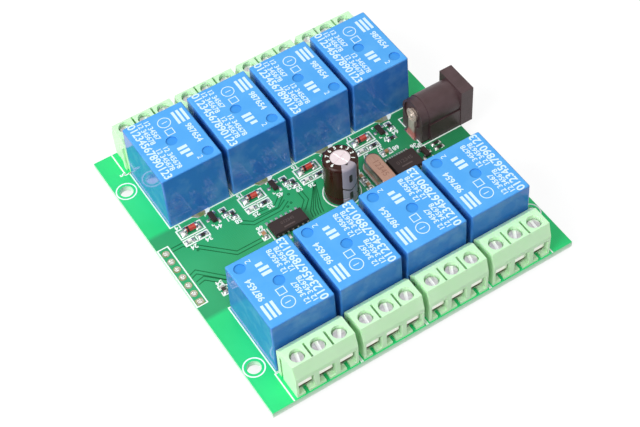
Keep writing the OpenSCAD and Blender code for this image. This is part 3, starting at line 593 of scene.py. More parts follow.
# header frame, with its left side close to the edge of the board
low, high = HEADER_FRAME
line(rectangle((header_x + low[0], low[1] - header_span / 2),
               (header_x + high[0], high[1] + header_span / 2)), closed=True)

# relays, open where the contact's land is, and terminals
for k in range(1, 9):
    low, high = corners(f"relay_case_{k}")
    centre = (low + high) / 2
    way = 1 if centre.y > 0 else -1
    x_out, y_out = (high.x - low.x) / 2 + FRAME_OFF, (high.y - low.y) / 2 + FRAME_OFF
    ends = [CONTACT_LAND_X + side * (LAND_SIDE + 0.9) for side in (-1, 1)]
    route = [(CONTACT_LAND_X + LAND_SIDE, -y_out - FRAME_END), (ends[1], -y_out), (x_out, -y_out),
             (x_out, y_out), (-x_out, y_out), (-x_out, -y_out), (ends[0], -y_out),
             (CONTACT_LAND_X - LAND_SIDE, -y_out - FRAME_END)]
    line([(centre.x + way * x, centre.y + way * y) for x, y in route])
    # a white patch of the legend lies over one side of the contact's land
    prism(legend, [(centre.x + way * x, centre.y + way * (y - y_out)) for x, y in
                   ((1.0, 0.6), (2.1, 0.2), (2.3, -0.1), (1.2, -1.15), (0.6, -1.15), (1.0, 0))],
          top - SEAT, top + PLATE + INK_T)
    # each terminal's frame is open towards the edge of the board
    low, high = corners(f"terminal_housing_{k}")
    way = 1 if low.y > 0 else -1
    inner_y = (low.y if way > 0 else high.y) - way * 0.15
    outer_y = way * (board_high.y - 0.05)
    left_x = max(low.x - 0.85, board_low.x + 0.2)
    line([(left_x, outer_y), (left_x, inner_y), (high.x + 0.3, inner_y),
          (high.x + 0.3, outer_y)])

# one number stands between the back terminals and the left edge
label("5", corners("terminal_housing_5")[0].x - 1.4, 33.2, 90, 1.2)

# driver groups: a diode, with the places of a lamp and its resistor beside it
DIODE_FRAME = (3.0, 1.35)        # half its length and half its width
LAMP_FRAME = (1.95, 3.55)        # its long sides' distances from the diode's middle
for k, (spot, size) in enumerate(solids("diode_glass")):
    way = 1 if spot.y > 0 else -1
    turn = 180 if way > 0 else 0

    def at(x, y):
        """A place from the diode's middle, turned with the front row."""
        return spot.x + way * x, spot.y + way * y

    x, y = DIODE_FRAME
    line([at(-x, -y), at(x, -y), at(x, y), at(-x, y)], BOLD_W, closed=True)
    near, far = LAMP_FRAME
    line([at(-x, -near), at(-x, -far), at(x, -far), at(x, -near)], BOLD_W, closed=True)
    line([at(0.0, -near), at(0.0, -far)], BOLD_W)
    for first, x, y in ((10, -2.0, 2.15), (20, -1.6, -4.5), (30, 2.2, -4.4)):
        label(str(k + first), *at(x, y), turn)

# transistors and the regulator: four corners
CORNER_X, CORNER_Y = 1.05, 1.85
for k, (spot, size) in enumerate(solids("transistor_bodies") + solids("regulator_body")):
    for sx in (-1, 1):
        for sy in (-1, 1):
            x, y = spot.x + sx * CORNER_X, spot.y + sy * CORNER_Y
            line([(x - sx * 0.5, y), (x, y), (x, y - sy * 0.45)], FINE_W)
    label(str(k + 40), spot.x, spot.y - 2.7 * (1 if spot.y > 0 else -1),
          180 if spot.y > 0 else 0)

# chip resistors that stand across the board, and chip capacitors: a bracket at each end
BRACKET = (0.75, 1.35)           # half its width and its reach from the middle
BRACKET_GAP = 0.3                # from the middle to where its arms end
upright_resistors = [(spot, size) for spot, size in solids("resistor_bodies") if size.y > size.x]
for k, (spot, size) in enumerate(upright_resistors + solids("ceramic_bodies")):
    along_y = size.y > size.x
    half, reach = BRACKET
    for way in (-1, 1):
        points = [(-half, way * BRACKET_GAP), (-half, way * reach),
                  (half, way * reach), (half, way * BRACKET_GAP)]
        line([(spot.x + x, spot.y + y) if along_y else (spot.x + y, spot.y + x)
              for x, y in points])
    if along_y:
        label(str(k + 50), spot.x + 0.1, spot.y - 2.2 * (1 if spot.y > 2 else -1))
    else:
        label(str(k + 50), spot.x + 2.6, spot.y)

# the capacitor's ring, the logic chip's end mark, the jack's corners
cap_low, cap_high = corners("capacitor_sleeve")
cap_spot = (cap_low + cap_high) / 2
line(circle_points(cap_spot, (cap_high.x - cap_low.x) / 2 + 0.35, 64), 0.28, closed=True)
low, high = corners("logic_chip_body")
line([(low.x - 0.25, low.y), (low.x - 0.25, high.y)])
low, high = corners("jack_body")
line([(low.x - 0.2, low.y + 2.3), (low.x - 0.2, low.y - 0.1), (board_high.x - 0.1, low.y - 0.1)])
line([(low.x + 0.9, high.y + 1.0), (low.x - 0.2, high.y + 1.0), (low.x - 0.2, high.y - 1.9)])
label("90", low.x - 1.9, low.y + 1.0, 0)
piece("printed_legend", legend, ink)


# ------------------------------------------------------------------ relays
# Eight sealed relays. The case is moulded in blue plastic, polished on its sides, with a fine
# spark-eroded matt on its top. The base is potted with resin, and five tinned legs go down
# through the board.
MARK_LEVEL = 16.8                # mm, between the floors of the round marks and the top

blue, tree, place = new_material("relay_case_plastic")
spot = add(tree, "ShaderNodeSeparateXYZ", {0: place}).outputs
facing = add(tree, "ShaderNodeSeparateXYZ",
             {0: add(tree, "ShaderNodeNewGeometry").outputs["Normal"]}).outputs
flat = add(tree, "ShaderNodeMapRange",
           {"Value": facing["Z"], "From Min": 0.5, "From Max": 0.95})
smudge = add(tree, "ShaderNodeTexNoise", {"Vector": place, "Scale": 1 / (4 * MM), "Detail": 4})
smudge = add(tree, "ShaderNodeMapRange",
             {"Value": smudge.outputs[0], "From Min": 0.45, "From Max": 0.75})
side_tone = add(tree, "ShaderNodeMixRGB",
                {"Fac": smudge.outputs["Result"], "Color1": linear("#3578c8"),
                 "Color2": linear("#5890ce")})
# a paler blue on the top than on the sides: a painted sheen of the light that falls on the top
top_tone_painted_sheen = add(tree, "ShaderNodeMixRGB",
               {"Fac": smudge.outputs["Result"], "Color1": linear("#4aa1e8"),
                "Color2": linear("#55a8ea")})
colour = add(tree, "ShaderNodeMixRGB",
             {"Fac": flat.outputs["Result"], "Color1": side_tone.outputs[0],
              "Color2": top_tone_painted_sheen.outputs[0]})
# the floors of the round sunk marks are painted a deeper blue: painted shade in the recess
sunk = add(tree, "ShaderNodeMath", {0: spot["Z"], 1: MARK_LEVEL * MM}, operation="LESS_THAN")
sunk = add(tree, "ShaderNodeMath", {0: sunk.outputs[0], 1: flat.outputs["Result"]},
           operation="MULTIPLY")
colour = add(tree, "ShaderNodeMixRGB",
             {"Fac": sunk.outputs[0], "Color1": colour.outputs[0], "Color2": linear("#3490e0")})
gloss = add(tree, "ShaderNodeMapRange",
            {"Value": flat.outputs["Result"], "To Min": 0.1, "To Max": 0.5})
# the eroded grain of the top, drawn coarser than it is so that it shows
grit = add(tree, "ShaderNodeTexNoise", {"Vector": place, "Scale": 1 / (0.12 * MM)})
grit_level = add(tree, "ShaderNodeMath", {0: grit.outputs[0], 1: flat.outputs["Result"]},
                 operation="MULTIPLY")
relief = add(tree, "ShaderNodeBump",
             {"Height": grit_level.outputs[0], "Strength": 0.5, "Distance": 0.012 * MM})
# the polished sides have sunk a little where the wall is thick
sink = add(tree, "ShaderNodeTexNoise", {"Vector": place, "Scale": 1 / (8 * MM)})
relief = add(tree, "ShaderNodeBump",
             {"Height": sink.outputs[0], "Strength": 0.5, "Distance": 0.02 * MM,
              "Normal": relief.outputs["Normal"]})
shader = add(tree, "ShaderNodeBsdfPrincipled",
             {"Base Color": colour.outputs[0], "Roughness": gloss.outputs["Result"],
              "Specular IOR Level": 0.4, "Normal": relief.outputs["Normal"]})
add(tree, "ShaderNodeOutputMaterial", {"Surface": shader.outputs[0]})
dress(blue, *[f"relay_case_{k}" for k in range(1, 9)])

# Potting resin: dark blue epoxy, poured, so it is smooth with a slight sag
potting = clouded("potting_resin", 5, "#18233f", "#2a3a5e", {"Roughness": 0.3}, (0.4, 0.3))
dress(potting, "relay_bases")
dress(tinned, "relay_legs")

# Pale pad-printed ink on each top, a little patchy: plain figures, bars, a ring and a square
pale = clouded("pale_blue_ink", 0.3, "#bfe0fb", "#ddf0fd", {"Roughness": 0.5})

PRINT_T = 0.02
STROKE_W = 0.2                   # of the ring and the square
RING_SPOT, RING_R = (1.2, 5.6), 1.45
# The print as the back row has it, in mm from the middle of the case, inner end towards -y.
# Rows of figures: text, middle, height and how far the strokes are widened
FIGURES = [("01234567890123", (-5.6, 0.0), 1.85, 0.03), ("12 345678", (-3.75, 5.0), 1.2, 0.03),
           ("12 34567", (-2.15, 5.2), 1.2, 0.03), ("12 345678", (-3.75, -3.9), 1.2, 0.03),
           ("12 345678", (-2.15, -4.2), 1.2, 0.03), ("987654", (5.3, -0.6), 1.45, 0.03),
           ("1", RING_SPOT, 1.4, 0), ("2", (2.9, -7.6), 1.3, 0)]
# Bars, by their low and high corners
BARS = [((-0.1, -3.42), (2.2, -2.58)), ((-0.1, -4.72), (2.2, -3.88)), ((0.6, -6.1), (2.2, -5.3)),
        ((3.77, 3.4), (4.43, 7.4)), ((4.87, 3.4), (5.53, 7.4)), ((5.97, 3.4), (6.63, 7.4))]
for k in range(1, 9):
    low, high = corners(f"relay_case_{k}")
    centre = (low + high) / 2
    print_low, print_high = high.z - SEAT, high.z + PRINT_T
    bm = bmesh.new()
    for text, place, height, bold in FIGURES:
        number(bm, text, place, height, print_low, print_high, -90, bold)
    for bar in BARS:
        prism(bm, rectangle(*bar), print_low, print_high)
    for outline in (circle_points(RING_SPOT, RING_R, 40), rectangle((0.1, 1.7), (1.9, 3.4))):
        strip(bm, outline, STROKE_W, print_low, print_high, closed=True)
    half_turn = 0 if centre.y > 0 else math.pi
    bm.transform(Matrix.Translation((centre.x, centre.y, 0)) @ Matrix.Rotation(half_turn, 4, "Z"))
    piece(f"relay_print_{k}", bm, pale)


# ------------------------------------------------------------------ terminal blocks
# Screw terminals moulded in pale green nylon: satin, and clear enough that light goes into it.
# The grain from the mould is drawn coarser than it is so that it shows.
nylon, tree, place = new_material("green_nylon")
flow = add(tree, "ShaderNodeTexNoise", {"Vector": place, "Scale": 1 / (6 * MM), "Detail": 2})
tone = add(tree, "ShaderNodeMixRGB",
           {"Fac": flow.outputs[0], "Color1": linear("#c3f2c0"), "Color2": linear("#d3f8cf")})
grit = add(tree, "ShaderNodeTexNoise", {"Vector": place, "Scale": 1 / (0.1 * MM)})
relief = add(tree, "ShaderNodeBump",
             {"Height": grit.outputs[0], "Strength": 0.4, "Distance": 0.01 * MM})
shader = add(tree, "ShaderNodeBsdfPrincipled",
             {"Base Color": tone.outputs[0], "Roughness": 0.42,
              "Subsurface Weight": 0.25, "Subsurface Radius": (0.6, 1.0, 0.5),
              "Subsurface Scale": 1.0 * MM, "Normal": relief.outputs["Normal"]})
add(tree, "ShaderNodeOutputMaterial", {"Surface": shader.outputs[0]})
dress(nylon, *[f"terminal_housing_{k}" for k in range(1, 9)])
dress(tinned, "terminal_contacts")

# Wire guards: nickelled sheet, bright, with a dark brown band along the lower edge that is painted
# shade
guard, tree, place = new_material("guard_sheet_edge_shade")
spot = add(tree, "ShaderNodeSeparateXYZ", {0: place}).outputs
guard_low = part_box("terminal_wire_guards")[0].z
# the dark brown band along the lower edge is painted shade of the bent edge
edge_shade = add(tree, "ShaderNodeMath", {0: spot["Z"], 1: guard_low + 0.22 * MM}, operation="LESS_THAN")
cloud = add(tree, "ShaderNodeTexNoise", {"Vector": place, "Scale": 1 / (0.8 * MM)})
tone = add(tree, "ShaderNodeMixRGB",
           {"Fac": cloud.outputs[0], "Color1": linear("#f6efe9"), "Color2": linear("#fffdfa")})
tone = add(tree, "ShaderNodeMixRGB",
           {"Fac": edge_shade.outputs[0], "Color1": tone.outputs[0], "Color2": linear("#6a3426")})
shader = add(tree, "ShaderNodeBsdfPrincipled",
             {"Base Color": tone.outputs[0], "Metallic": 0.8, "Roughness": 0.3})
add(tree, "ShaderNodeOutputMaterial", {"Surface": shader.outputs[0]})
dress(guard, "terminal_wire_guards")

# Nickel plate on turned steel: grey and bright, with the tool's fine unevenness
nickel, tree, place = new_material("nickel_plate")
cloud = add(tree, "ShaderNodeTexNoise", {"Vector": place, "Scale": 1 / (0.7 * MM), "Detail": 3})
tone = add(tree, "ShaderNodeMixRGB",
           {"Fac": cloud.outputs[0], "Color1": linear("#9c999e"), "Color2": linear("#efefed")})
# the floors of the slots are painted near white and made less metallic: a painted highlight
SLOT_W, SLOT_DEPTH = 0.8, 0.45
slot_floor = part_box("terminal_screws")[1].z - SLOT_DEPTH * MM
slot_highlight = add(tree, "ShaderNodeMath",
             {0: add(tree, "ShaderNodeSeparateXYZ", {0: place}).outputs["Z"],
              1: slot_floor + 0.03 * MM}, operation="LESS_THAN")
tone = add(tree, "ShaderNodeMixRGB",
           {"Fac": slot_highlight.outputs[0], "Color1": tone.outputs[0], "Color2": linear("#fdfdfd")})
slot_highlight_metallic = add(tree, "ShaderNodeMapRange", {"Value": slot_highlight.outputs[0], "To Min": 1.0, "To Max": 0.3})
relief = add(tree, "ShaderNodeBump",
             {"Height": cloud.outputs[0], "Strength": 0.6, "Distance": 0.09 * MM})
shader = add(tree, "ShaderNodeBsdfPrincipled",
             {"Base Color": tone.outputs[0], "Metallic": slot_highlight_metallic.outputs["Result"],
              "Roughness": 0.28, "Normal": relief.outputs["Normal"]})
add(tree, "ShaderNodeOutputMaterial", {"Surface": shader.outputs[0]})

# Cheese-head screws: a bevelled head with a driver slot, and a shank with a rolled thread
HEAD_D, HEAD_H = 3.0, 1.4
SHANK_D, THREAD_PITCH, THREAD_DEPTH = 2.4, 0.45, 0.18
HEAD_BEVEL = 0.16
bm = bmesh.new()
for k, (spot, size) in enumerate(solids("terminal_screws")):
    one = bmesh.new()
    high = spot.z + size.z / 2
    low = spot.z - size.z / 2
    neck = high - HEAD_H
    r = HEAD_D / 2
    prism(one, circle_points((0, 0), r, 40), neck, high - SLOT_DEPTH)
    # the two cheeks beside the slot
    for side in (-1, 1):
        cheeks = []
        for radius in (r, r - HEAD_BEVEL):
            reach = math.acos(SLOT_W / 2 / radius)
            cheeks.append([(side * radius * math.cos(reach * (i / 9 - 1)),
                            radius * math.sin(reach * (i / 9 - 1))) for i in range(19)])
        stack(one, [(cheeks[0], high - SLOT_DEPTH), (cheeks[0], high - HEAD_BEVEL),
                    (cheeks[1], high)])
    turns = int((neck - low) / THREAD_PITCH)
    ridge = [(SHANK_D / 2 - (THREAD_DEPTH if i % 2 else 0), low + THREAD_PITCH * i / 2)
             for i in range(2 * turns + 1)]
    lathe(one, (0, 0), [(0.3, low), *ridge, (SHANK_D / 2 - THREAD_DEPTH, neck + 0.01),
                        (0.3, neck + 0.01)], 16)
    turn = math.radians(-16 + 14 * math.sin(2.4 * k))
    one.transform(Matrix.Translation((spot.x, spot.y, 0)) @ Matrix.Rotation(turn, 4, "Z"))
    mesh = bpy.data.meshes.new("screw")
    one.to_mesh(mesh)
    one.free()
    bm.from_mesh(mesh)
    bpy.data.meshes.remove(mesh)
screws = piece("slotted_screws", bm, nickel, 30)
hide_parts("terminal_screws")


# ------------------------------------------------------------------ power jack
# Barrel jack moulded in black-brown glass-filled nylon, eroded satin, with tinned strip contacts.
# The glass gives it a speckled gloss, with a grain drawn coarser than it is so that it shows.
jack_plastic, tree, place = new_material("jack_nylon")
cloud = add(tree, "ShaderNodeTexNoise", {"Vector": place, "Scale": 1 / (3 * MM), "Detail": 3})
tone = add(tree, "ShaderNodeMixRGB",
           {"Fac": cloud.outputs[0], "Color1": linear("#382625"), "Color2": linear("#584347")})
grit = add(tree, "ShaderNodeTexNoise", {"Vector": place, "Scale": 1 / (0.25 * MM)})
relief = add(tree, "ShaderNodeBump",
             {"Height": grit.outputs[0], "Strength": 0.8, "Distance": 0.05 * MM})
shader = add(tree, "ShaderNodeBsdfPrincipled",
             {"Base Color": tone.outputs[0], "Roughness": 0.35, "Specular IOR Level": 0.35,
              "Normal": relief.outputs["Normal"]})
add(tree, "ShaderNodeOutputMaterial", {"Surface": shader.outputs[0]})
dress(jack_plastic, "jack_body")
dress(tinned, "jack_centre_pin", "jack_sleeve_spring", "jack_switch_contact")

# Tinned brass strip, gone dull; its foot is painted reddish, a painted reflection
brass, tree, place = new_material("aged_brass_strip")
spot = add(tree, "ShaderNodeSeparateXYZ", {0: place}).outputs
cloud = add(tree, "ShaderNodeTexNoise", {"Vector": place, "Scale": 1 / (0.7 * MM), "Detail": 3})
tone = add(tree, "ShaderNodeMixRGB",
           {"Fac": cloud.outputs[0], "Color1": linear("#a08f80"), "Color2": linear("#d8c9ba")})
# the reddish foot is a painted reflection
foot = add(tree, "ShaderNodeMapRange",
           {"Value": spot["Z"], "From Min": (top + 1.2) * MM, "From Max": (top + 2.2) * MM,
            "To Min": 0.8, "To Max": 0})
tone = add(tree, "ShaderNodeMixRGB",
           {"Fac": foot.outputs["Result"], "Color1": tone.outputs[0], "Color2": linear("#a0514a")})
shader = add(tree, "ShaderNodeBsdfPrincipled",
             {"Base Color": tone.outputs[0], "Metallic": 0.25, "Roughness": 0.35})
add(tree, "ShaderNodeOutputMaterial", {"Surface": shader.outputs[0]})
dress(brass, "jack_rear_contact")

# The lug riveted over the end of the pin: a round eye with a rolled rim, on a stem that is
# soldered down on the jack's land
LUG_T = 0.3
EYE_R, STEM_W = 1.8, 2.3
# Profiles of the rolled rim and of the rivet in it: radius, and height over the strip's face
EYE_RIM = [(1.05, -0.02), (1.45, -0.02), (1.38, 0.16), (1.12, 0.16)]
RIVET = [(0.02, -0.02), (0.7, -0.02), (0.5, 0.22), (0.02, 0.28)]
# Layers of the joint at its foot: reach to the rear, half width, and height over the board
JOINT_LAYERS = [(0.35, 1.5, -SEAT), (0.2, 1.35, 0.5), (0.02, 1.2, 1.3)]
lug_low, lug_high = corners("jack_rear_contact")
lug_y = (lug_low.y + lug_high.y) / 2
eye_z = lug_high.z - (lug_high.y - lug_low.y) / 2
lug_face = corners("jack_body")[0].x - LUG_T - 0.05
bm = bmesh.new()
neck = math.asin(STEM_W / 2 / EYE_R)
outline = [(STEM_W / 2, top + 0.1)]
for i in range(33):
    a = neck + (2 * math.pi - 2 * neck) * i / 32 - math.pi / 2
    outline.append((EYE_R * math.cos(a), eye_z + EYE_R * math.sin(a)))
outline.append((-STEM_W / 2, top + 0.1))
# lathe and stack build along z, so the lug is drawn flat and then stood up
stack(bm, [(outline, 0), (outline, LUG_T - 0.06),
           ([(y * 0.96, z - (z - eye_z) * 0.03) for y, z in outline], LUG_T)])
for profile, sides in ((EYE_RIM, 32), (RIVET, 24)):
    lathe(bm, (0, eye_z), [(r, LUG_T + z) for r, z in profile], sides)
bm.transform(Matrix(((0, 0, -1, lug_face + LUG_T), (-1, 0, 0, lug_y), (0, 1, 0, 0),
                     (0, 0, 0, 1))))
piece("jack_lug", bm, brass, 35)

# The joint at the lug's foot, painted reddish as a painted reflection, on a bright land
joint_red_reflection = clouded("joint_painted_red_reflection", 0.5, "#9d524c", "#d28a82", {"Metallic": 0.2, "Roughness": 0.3})
bm = bmesh.new()
stack(bm, [(rectangle((lug_face - reach, lug_y - half), (lug_face + LUG_T, lug_y + half)), top + z)
           for reach, half, z in JOINT_LAYERS])
piece("jack_lug_joint", bm, joint_red_reflection, 20)
bm = bmesh.new()
prism(bm, rectangle((lug_face - 0.6, lug_y - 2.2), (lug_face + LUG_T, lug_y + 2.2)), top - SEAT,
      top + PLATE)
piece("jack_land", bm, new_tin)


# ------------------------------------------------------------------ electrolytic capacitor
# Drawn aluminium can with a rubber bung, in a shrunk sleeve of dark brown film. The film has a
# printed grey stripe on the side of the negative lead.
aluminium = clouded("drawn_aluminium", 0.5, "#eedfe3", "#f8ebee",
                    {"Metallic": 1.0, "Roughness": 0.4})
dress(aluminium, "capacitor_can")

STRIPE = (-117, -60)             # degrees round the can
sleeve, tree, place = new_material("shrunk_film")
from_axis = add(tree, "ShaderNodeVectorMath",
                {0: place, 1: (cap_spot.x * MM, cap_spot.y * MM, 0)}, operation="SUBTRACT")
spot = add(tree, "ShaderNodeSeparateXYZ", {0: from_axis.outputs[0]}).outputs
angle = add(tree, "ShaderNodeMath", {0: spot["Y"], 1: spot["X"]}, operation="ARCTAN2")
stripe = add(tree, "ShaderNodeMath",
             {0: angle.outputs[0], 1: math.radians(sum(STRIPE) / 2),
              2: math.radians(STRIPE[1] - STRIPE[0]) / 2}, operation="COMPARE")
pull = add(tree, "ShaderNodeMapping", {"Vector": place, "Scale": (1, 1, 0.2)})
crease = add(tree, "ShaderNodeTexNoise", {"Vector": pull.outputs[0], "Scale": 1 / (0.8 * MM)})
film = add(tree, "ShaderNodeMixRGB",
           {"Fac": crease.outputs[0], "Color1": linear("#2a0f08"), "Color2": linear("#3b1d15")})
printed = add(tree, "ShaderNodeMixRGB",
              {"Fac": crease.outputs[0], "Color1": linear("#9a919a"), "Color2": linear("#b0a8b0")})
tone = add(tree, "ShaderNodeMixRGB",
           {"Fac": stripe.outputs[0], "Color1": film.outputs[0], "Color2": printed.outputs[0]})
relief = add(tree, "ShaderNodeBump",
             {"Height": crease.outputs[0], "Strength": 0.5, "Distance": 0.04 * MM})
shader = add(tree, "ShaderNodeBsdfPrincipled",
             {"Base Color": tone.outputs[0], "Roughness": 0.2, "Specular IOR Level": 0.22,
              "Normal": relief.outputs["Normal"]})
add(tree, "ShaderNodeOutputMaterial", {"Surface": shader.outputs[0]})
dress(sleeve, "capacitor_sleeve")

# Marks on the stripe: two ovals and a chevron, and an arrowhead on the rim above it. Their
# dark gloss ink was printed before the film was shrunk, so it is stretched a little thin.
mark_ink = clouded("dark_film_ink", 0.3, "#1b1310", "#2c211b", {"Roughness": 0.3})

MARK_T = 0.02
OVAL_DROPS = (3.6, 9.4)          # mm from the top of the sleeve to the ovals' middles
OVAL_HALF_W, OVAL_SIDE, OVAL_END = 0.42, 0.95, 0.3
CHEVRON_DROP, CHEVRON_RISE, CHEVRON_W = 7.7, 1.1, 0.35
RIM_W = 1.05                     # folded rim of the film on the top
cap_r = (cap_high.x - cap_low.x) / 2
stripe_middle = math.radians(sum(STRIPE) / 2)


def wrapped(bm, columns):
    """A mark laid round the sleeve: columns of a place along the skin, a foot and a head."""
    rows = []
    for along, foot, head in columns:
        a = stripe_middle + along / cap_r
        rows.append([bm.verts.new((cap_spot.x + r * math.cos(a), cap_spot.y + r * math.sin(a), z))
                     for r, z in ((cap_r - MARK_T, foot), (cap_r + MARK_T, foot),
                                  (cap_r + MARK_T, head), (cap_r - MARK_T, head))])
    for here, there in zip(rows, rows[1:]):
        for k in range(4):
            bm.faces.new((here[k], there[k], there[(k + 1) % 4], here[(k + 1) % 4]))
    bm.faces.new(rows[0])
    bm.faces.new(rows[-1])


bm = bmesh.new()
for drop in OVAL_DROPS:
    columns = []
    for a in [math.radians(step) for step in range(-90, 91, 30)]:
        half = OVAL_SIDE + OVAL_END * math.cos(a)
        columns.append((OVAL_HALF_W * math.sin(a), cap_high.z - drop - half,
                        cap_high.z - drop + half))
    wrapped(bm, columns)
half_stripe = cap_r * math.radians(STRIPE[1] - STRIPE[0]) / 2
columns = []
for share in [i / 8 for i in range(-8, 9)]:
    foot = cap_high.z - CHEVRON_DROP + CHEVRON_RISE * abs(share)
    columns.append((half_stripe * share, foot, foot + CHEVRON_W))
wrapped(bm, columns)
tip = cap_r - RIM_W
across = Vector((-math.sin(stripe_middle), math.cos(stripe_middle)))
out = Vector((math.cos(stripe_middle), math.sin(stripe_middle)))
centre = Vector(cap_spot[:2])
prism(bm, [centre + out * tip + across * -0.05, centre + out * (tip - 0.5) + across * -0.5,
           centre + out * (tip - 0.5) + across * 0.5], cap_high.z - SEAT, cap_high.z + MARK_T)
piece("stripe_marks", bm, mark_ink)

# Small plain figures round the folded rim, from the right round to the far side
RIM_COUNT, RIM_START, RIM_STEP = 9, -38, 30         # degrees
RIM_FIGURE_H, RIM_FIGURE_IN = 0.85, 1.15
bm = bmesh.new()
for k in range(RIM_COUNT):
    turn = RIM_START + RIM_STEP * k
    place = circle_points(cap_spot, cap_r - RIM_FIGURE_IN, 1, math.radians(turn))[0]
    number(bm, str(k + 1), place, RIM_FIGURE_H, cap_high.z - SEAT, cap_high.z + MARK_T,
           turn - 90, 0.04)
piece("rim_figures", bm, ink)

# Dusty black rubber, moulded matt
rubber = clouded("bung_rubber", 0.4, "#1e1a19", "#332e2b", {"Roughness": 0.8})
dress(rubber, "capacitor_bung")
dress(tinned, "capacitor_leads")


# ------------------------------------------------------------------ crystal
# Low can of drawn nickel silver, resistance-welded to a flanged base. The top is rolled satin and
# browner than the sides; faint figures are etched in it.
can, tree, place = new_material("nickel_silver_can")
facing = add(tree, "ShaderNodeSeparateXYZ",
             {0: add(tree, "ShaderNodeNewGeometry").outputs["Normal"]}).outputs
pull = add(tree, "ShaderNodeMapping", {"Vector": place, "Scale": (1, 0.05, 1)})
brushed = add(tree, "ShaderNodeTexNoise", {"Vector": pull.outputs[0], "Scale": 1 / (0.15 * MM)})
tone = add(tree, "ShaderNodeMixRGB",
           {"Fac": brushed.outputs[0], "Color1": linear("#a8806e"), "Color2": linear("#c9a492")})
flat = add(tree, "ShaderNodeMath", {0: facing["Z"], 1: 0.6}, operation="GREATER_THAN")
tone = add(tree, "ShaderNodeMixRGB",
           {"Fac": flat.outputs[0], "Color1": linear("#c8c0b8"), "Color2": tone.outputs[0]})
shader = add(tree, "ShaderNodeBsdfPrincipled",
             {"Base Color": tone.outputs[0], "Metallic": 1.0, "Roughness": 0.3})
add(tree, "ShaderNodeOutputMaterial", {"Surface": shader.outputs[0]})
dress(can, "crystal_can")
dress(tinned, "crystal_base", "crystal_leads")

# The figures are etched duller and a little darker than the can
etched_mark = clouded("etched_figures", 0.3, "#98705f", "#ac8270",
                      {"Metallic": 0.8, "Roughness": 0.5})
low, high = corners("crystal_can")
bm = bmesh.new()
number(bm, "12345", ((low.x + high.x) / 2, (low.y + high.y) / 2), 1.5, high.z - 0.02,
       high.z + 0.008, -90)
piece("crystal_figures", bm, etched_mark)


# ------------------------------------------------------------------ chips and transistors
# Epoxy mouldings, black with a brown cast, satin with a fine grain from the mould. The grain
# is drawn coarser than it is so that it shows.
epoxy = clouded("chip_epoxy", 0.1, "#2a1f1c", "#3a2d2b",
                {"Roughness": 0.55, "Specular IOR Level": 0.35}, (0.4, 0.01))
dress(epoxy, "logic_chip_body", "controller_body", "transistor_bodies", "regulator_body")
dress(tinned, "logic_chip_leads", "controller_leads", "transistor_leads", "regulator_leads")

# Laser marks: the beam scorches the epoxy a little paler
SCORCH_T = 0.006
scorch = clouded("laser_mark", 0.2, "#4a3c39", "#605350", {"Roughness": 0.7})
bm = bmesh.new()
for name, height in (("logic_chip_body", 0.8), ("controller_body", 1.0)):
    low, high = corners(name)
    centre = (low + high) / 2
    number(bm, "012345", (centre.x, centre.y + 0.3), height, high.z - SEAT, high.z + SCORCH_T)
    prism(bm, rectangle((centre.x - 1.6, centre.y - 1.2), (centre.x + 1.2, centre.y - 0.85)),
          high.z - SEAT, high.z + SCORCH_T)
piece("laser_marks", bm, scorch)


# ------------------------------------------------------------------ diodes
# Glass beads, orange-red inside, between two tinned caps; a black band marks the cathode.
glass = clouded("diode_glass", 0.6, "#a82418", "#d5503a", {"Roughness": 0.06, "Coat Weight": 0.6})
dress(glass, "diode_glass")
dress(tinned, "diode_caps")

BAND = (0.45, 0.95)              # mm from the glass's middle towards the cathode
bm = bmesh.new()
for spot, size in solids("diode_glass"):
    r = size.y / 2 + 0.02
    way = 1 if spot.y > 0 else -1
    rings = [[bm.verts.new((spot.x - way * x, spot.y + radius * math.cos(2 * math.pi * k / 24),
                            spot.z + radius * math.sin(2 * math.pi * k / 24))) for k in range(24)]
             for x, radius in ((BAND[0], r - 0.1), (BAND[0], r), (BAND[1], r), (BAND[1], r - 0.1))]
    for i in range(4):
        here, there = rings[i], rings[(i + 1) % 4]
        for k in range(24):
            bm.faces.new((here[k], here[(k + 1) % 24], there[(k + 1) % 24], there[k]))
piece("diode_bands", bm, mark_ink, 40)


# ------------------------------------------------------------------ chip parts and lamps
# Small ceramic blocks with tinned ends. Resistors are glazed black, capacitors are bare tan
# ceramic with a dull fired grain, and lamps have a smooth moulded top of milky resin.
dress(clouded("resistor_glaze", 0.2, "#241e1c", "#403734", {"Roughness": 0.35}), "resistor_bodies")
dress(clouded("tan_ceramic", 0.2, "#a5714a", "#c4936a", {"Roughness": 0.45}), "ceramic_bodies")
dress(clouded("lamp_resin", 0.4, "#e6e3d9", "#f8f6ef", {"Roughness": 0.25}), "lamp_bodies")
dress(tinned, "resistor_ends", "ceramic_ends", "lamp_ends")


# ------------------------------------------------------------------ solder
# Tin solder: bright cones round the legs underneath, and reflowed fillets that climb the ends
# and feet of the small parts on top.
solder, tree, place = new_material("bright_solder")
frost = add(tree, "ShaderNodeTexNoise", {"Vector": place, "Scale": 1 / (0.4 * MM), "Detail": 4})
tone = add(tree, "ShaderNodeMixRGB",
           {"Fac": frost.outputs[0], "Color1": linear("#b8b6b2"), "Color2": linear("#f4f3f0")})
gloss = add(tree, "ShaderNodeMapRange",
            {"Value": frost.outputs[0], "To Min": 0.25, "To Max": 0.5})
shader = add(tree, "ShaderNodeBsdfPrincipled",
             {"Base Color": tone.outputs[0], "Metallic": 0.75,
              "Roughness": gloss.outputs["Result"]})
add(tree, "ShaderNodeOutputMaterial", {"Surface": shader.outputs[0]})
dress(solder, "solder_joints")


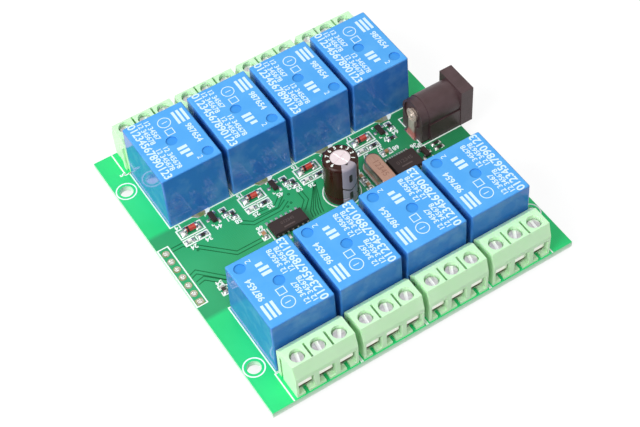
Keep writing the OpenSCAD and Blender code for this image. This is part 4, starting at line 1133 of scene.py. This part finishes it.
def fillet(bm, centre, size, height, steps=6):
    """A pillow of solder over a pad, highest in the middle, with a closed flat underside."""
    rows = []
    for i in range(steps + 1):
        u = 2 * i / steps - 1
        row = []
        for j in range(steps + 1):
            v = 2 * j / steps - 1
            row.append(bm.verts.new((centre[0] + u * size[0] / 2, centre[1] + v * size[1] / 2,
                                     top + 0.02 + height * (1 - u * u) * (1 - v * v))))
        rows.append(row)
    for i in range(steps):
        for j in range(steps):
            bm.faces.new((rows[i][j], rows[i + 1][j], rows[i + 1][j + 1], rows[i][j + 1]))
    rim = ([rows[i][0] for i in range(steps)] + rows[steps][:steps]
           + [rows[i][steps] for i in range(steps, 0, -1)] + rows[0][:0:-1])
    feet = [bm.verts.new((v.co.x, v.co.y, top - SEAT)) for v in rim]
    for i in range(len(rim)):
        j = (i + 1) % len(rim)
        bm.faces.new((rim[i], rim[j], feet[j], feet[i]))
    bm.faces.new(feet)


# Fillets: width and length in plan, and height
CHIP_END, CHIP_END_H = (0.9, 1.05), 0.42
DIODE_PAD, DIODE_PAD_H = (1.5, 1.9), 0.6
TRANSISTOR_FOOT, TRANSISTOR_FOOT_H = (0.7, 0.8), 0.12
CHIP_FOOT_H = 0.16
bm = bmesh.new()
# ends of the chip parts: each fillet reaches out past its end
for name in ("resistor", "ceramic", "lamp"):
    bodies = solids(f"{name}_bodies")
    for spot, size in solids(f"{name}_ends"):
        body = min(bodies, key=lambda one: (one[0] - spot).length)[0]
        out = (spot - body).normalized()
        along_x = abs(out.x) > abs(out.y)
        fillet(bm, spot + out * 0.2, CHIP_END if along_x else CHIP_END[::-1], CHIP_END_H)
# caps of the diodes: broad pads
beads = solids("diode_glass")
for spot, size in solids("diode_caps"):
    bead = min(beads, key=lambda one: (one[0] - spot).length)[0]
    way = 1 if spot.x > bead.x else -1
    fillet(bm, (spot.x + way * 0.4, spot.y), DIODE_PAD, DIODE_PAD_H)
# feet of the transistors and the regulator
for leads, bodies in (("transistor_leads", solids("transistor_bodies")),
                      ("regulator_leads", solids("regulator_body"))):
    for spot, size in solids(leads):
        body = min(bodies, key=lambda one: (one[0] - spot).length)[0]
        if abs(spot.x - body.x) > abs(spot.y - body.y):
            out = Vector((1 if spot.x > body.x else -1, 0))
        else:
            out = Vector((0, 1 if spot.y > body.y else -1))
        fillet(bm, spot.xy + out * 0.3, TRANSISTOR_FOOT, TRANSISTOR_FOOT_H)
# feet of the two chips
for name, width, length in (("logic_chip", 0.62, 1.3), ("controller", 0.42, 1.2)):
    low, high = corners(f"{name}_body")
    for spot, size in solids(f"{name}_leads"):
        way = 1 if spot.y > (low.y + high.y) / 2 else -1
        fillet(bm, (spot.x, spot.y + way * 0.35), (width, length), CHIP_FOOT_H)
piece("solder_fillets", bm, solder, 60)
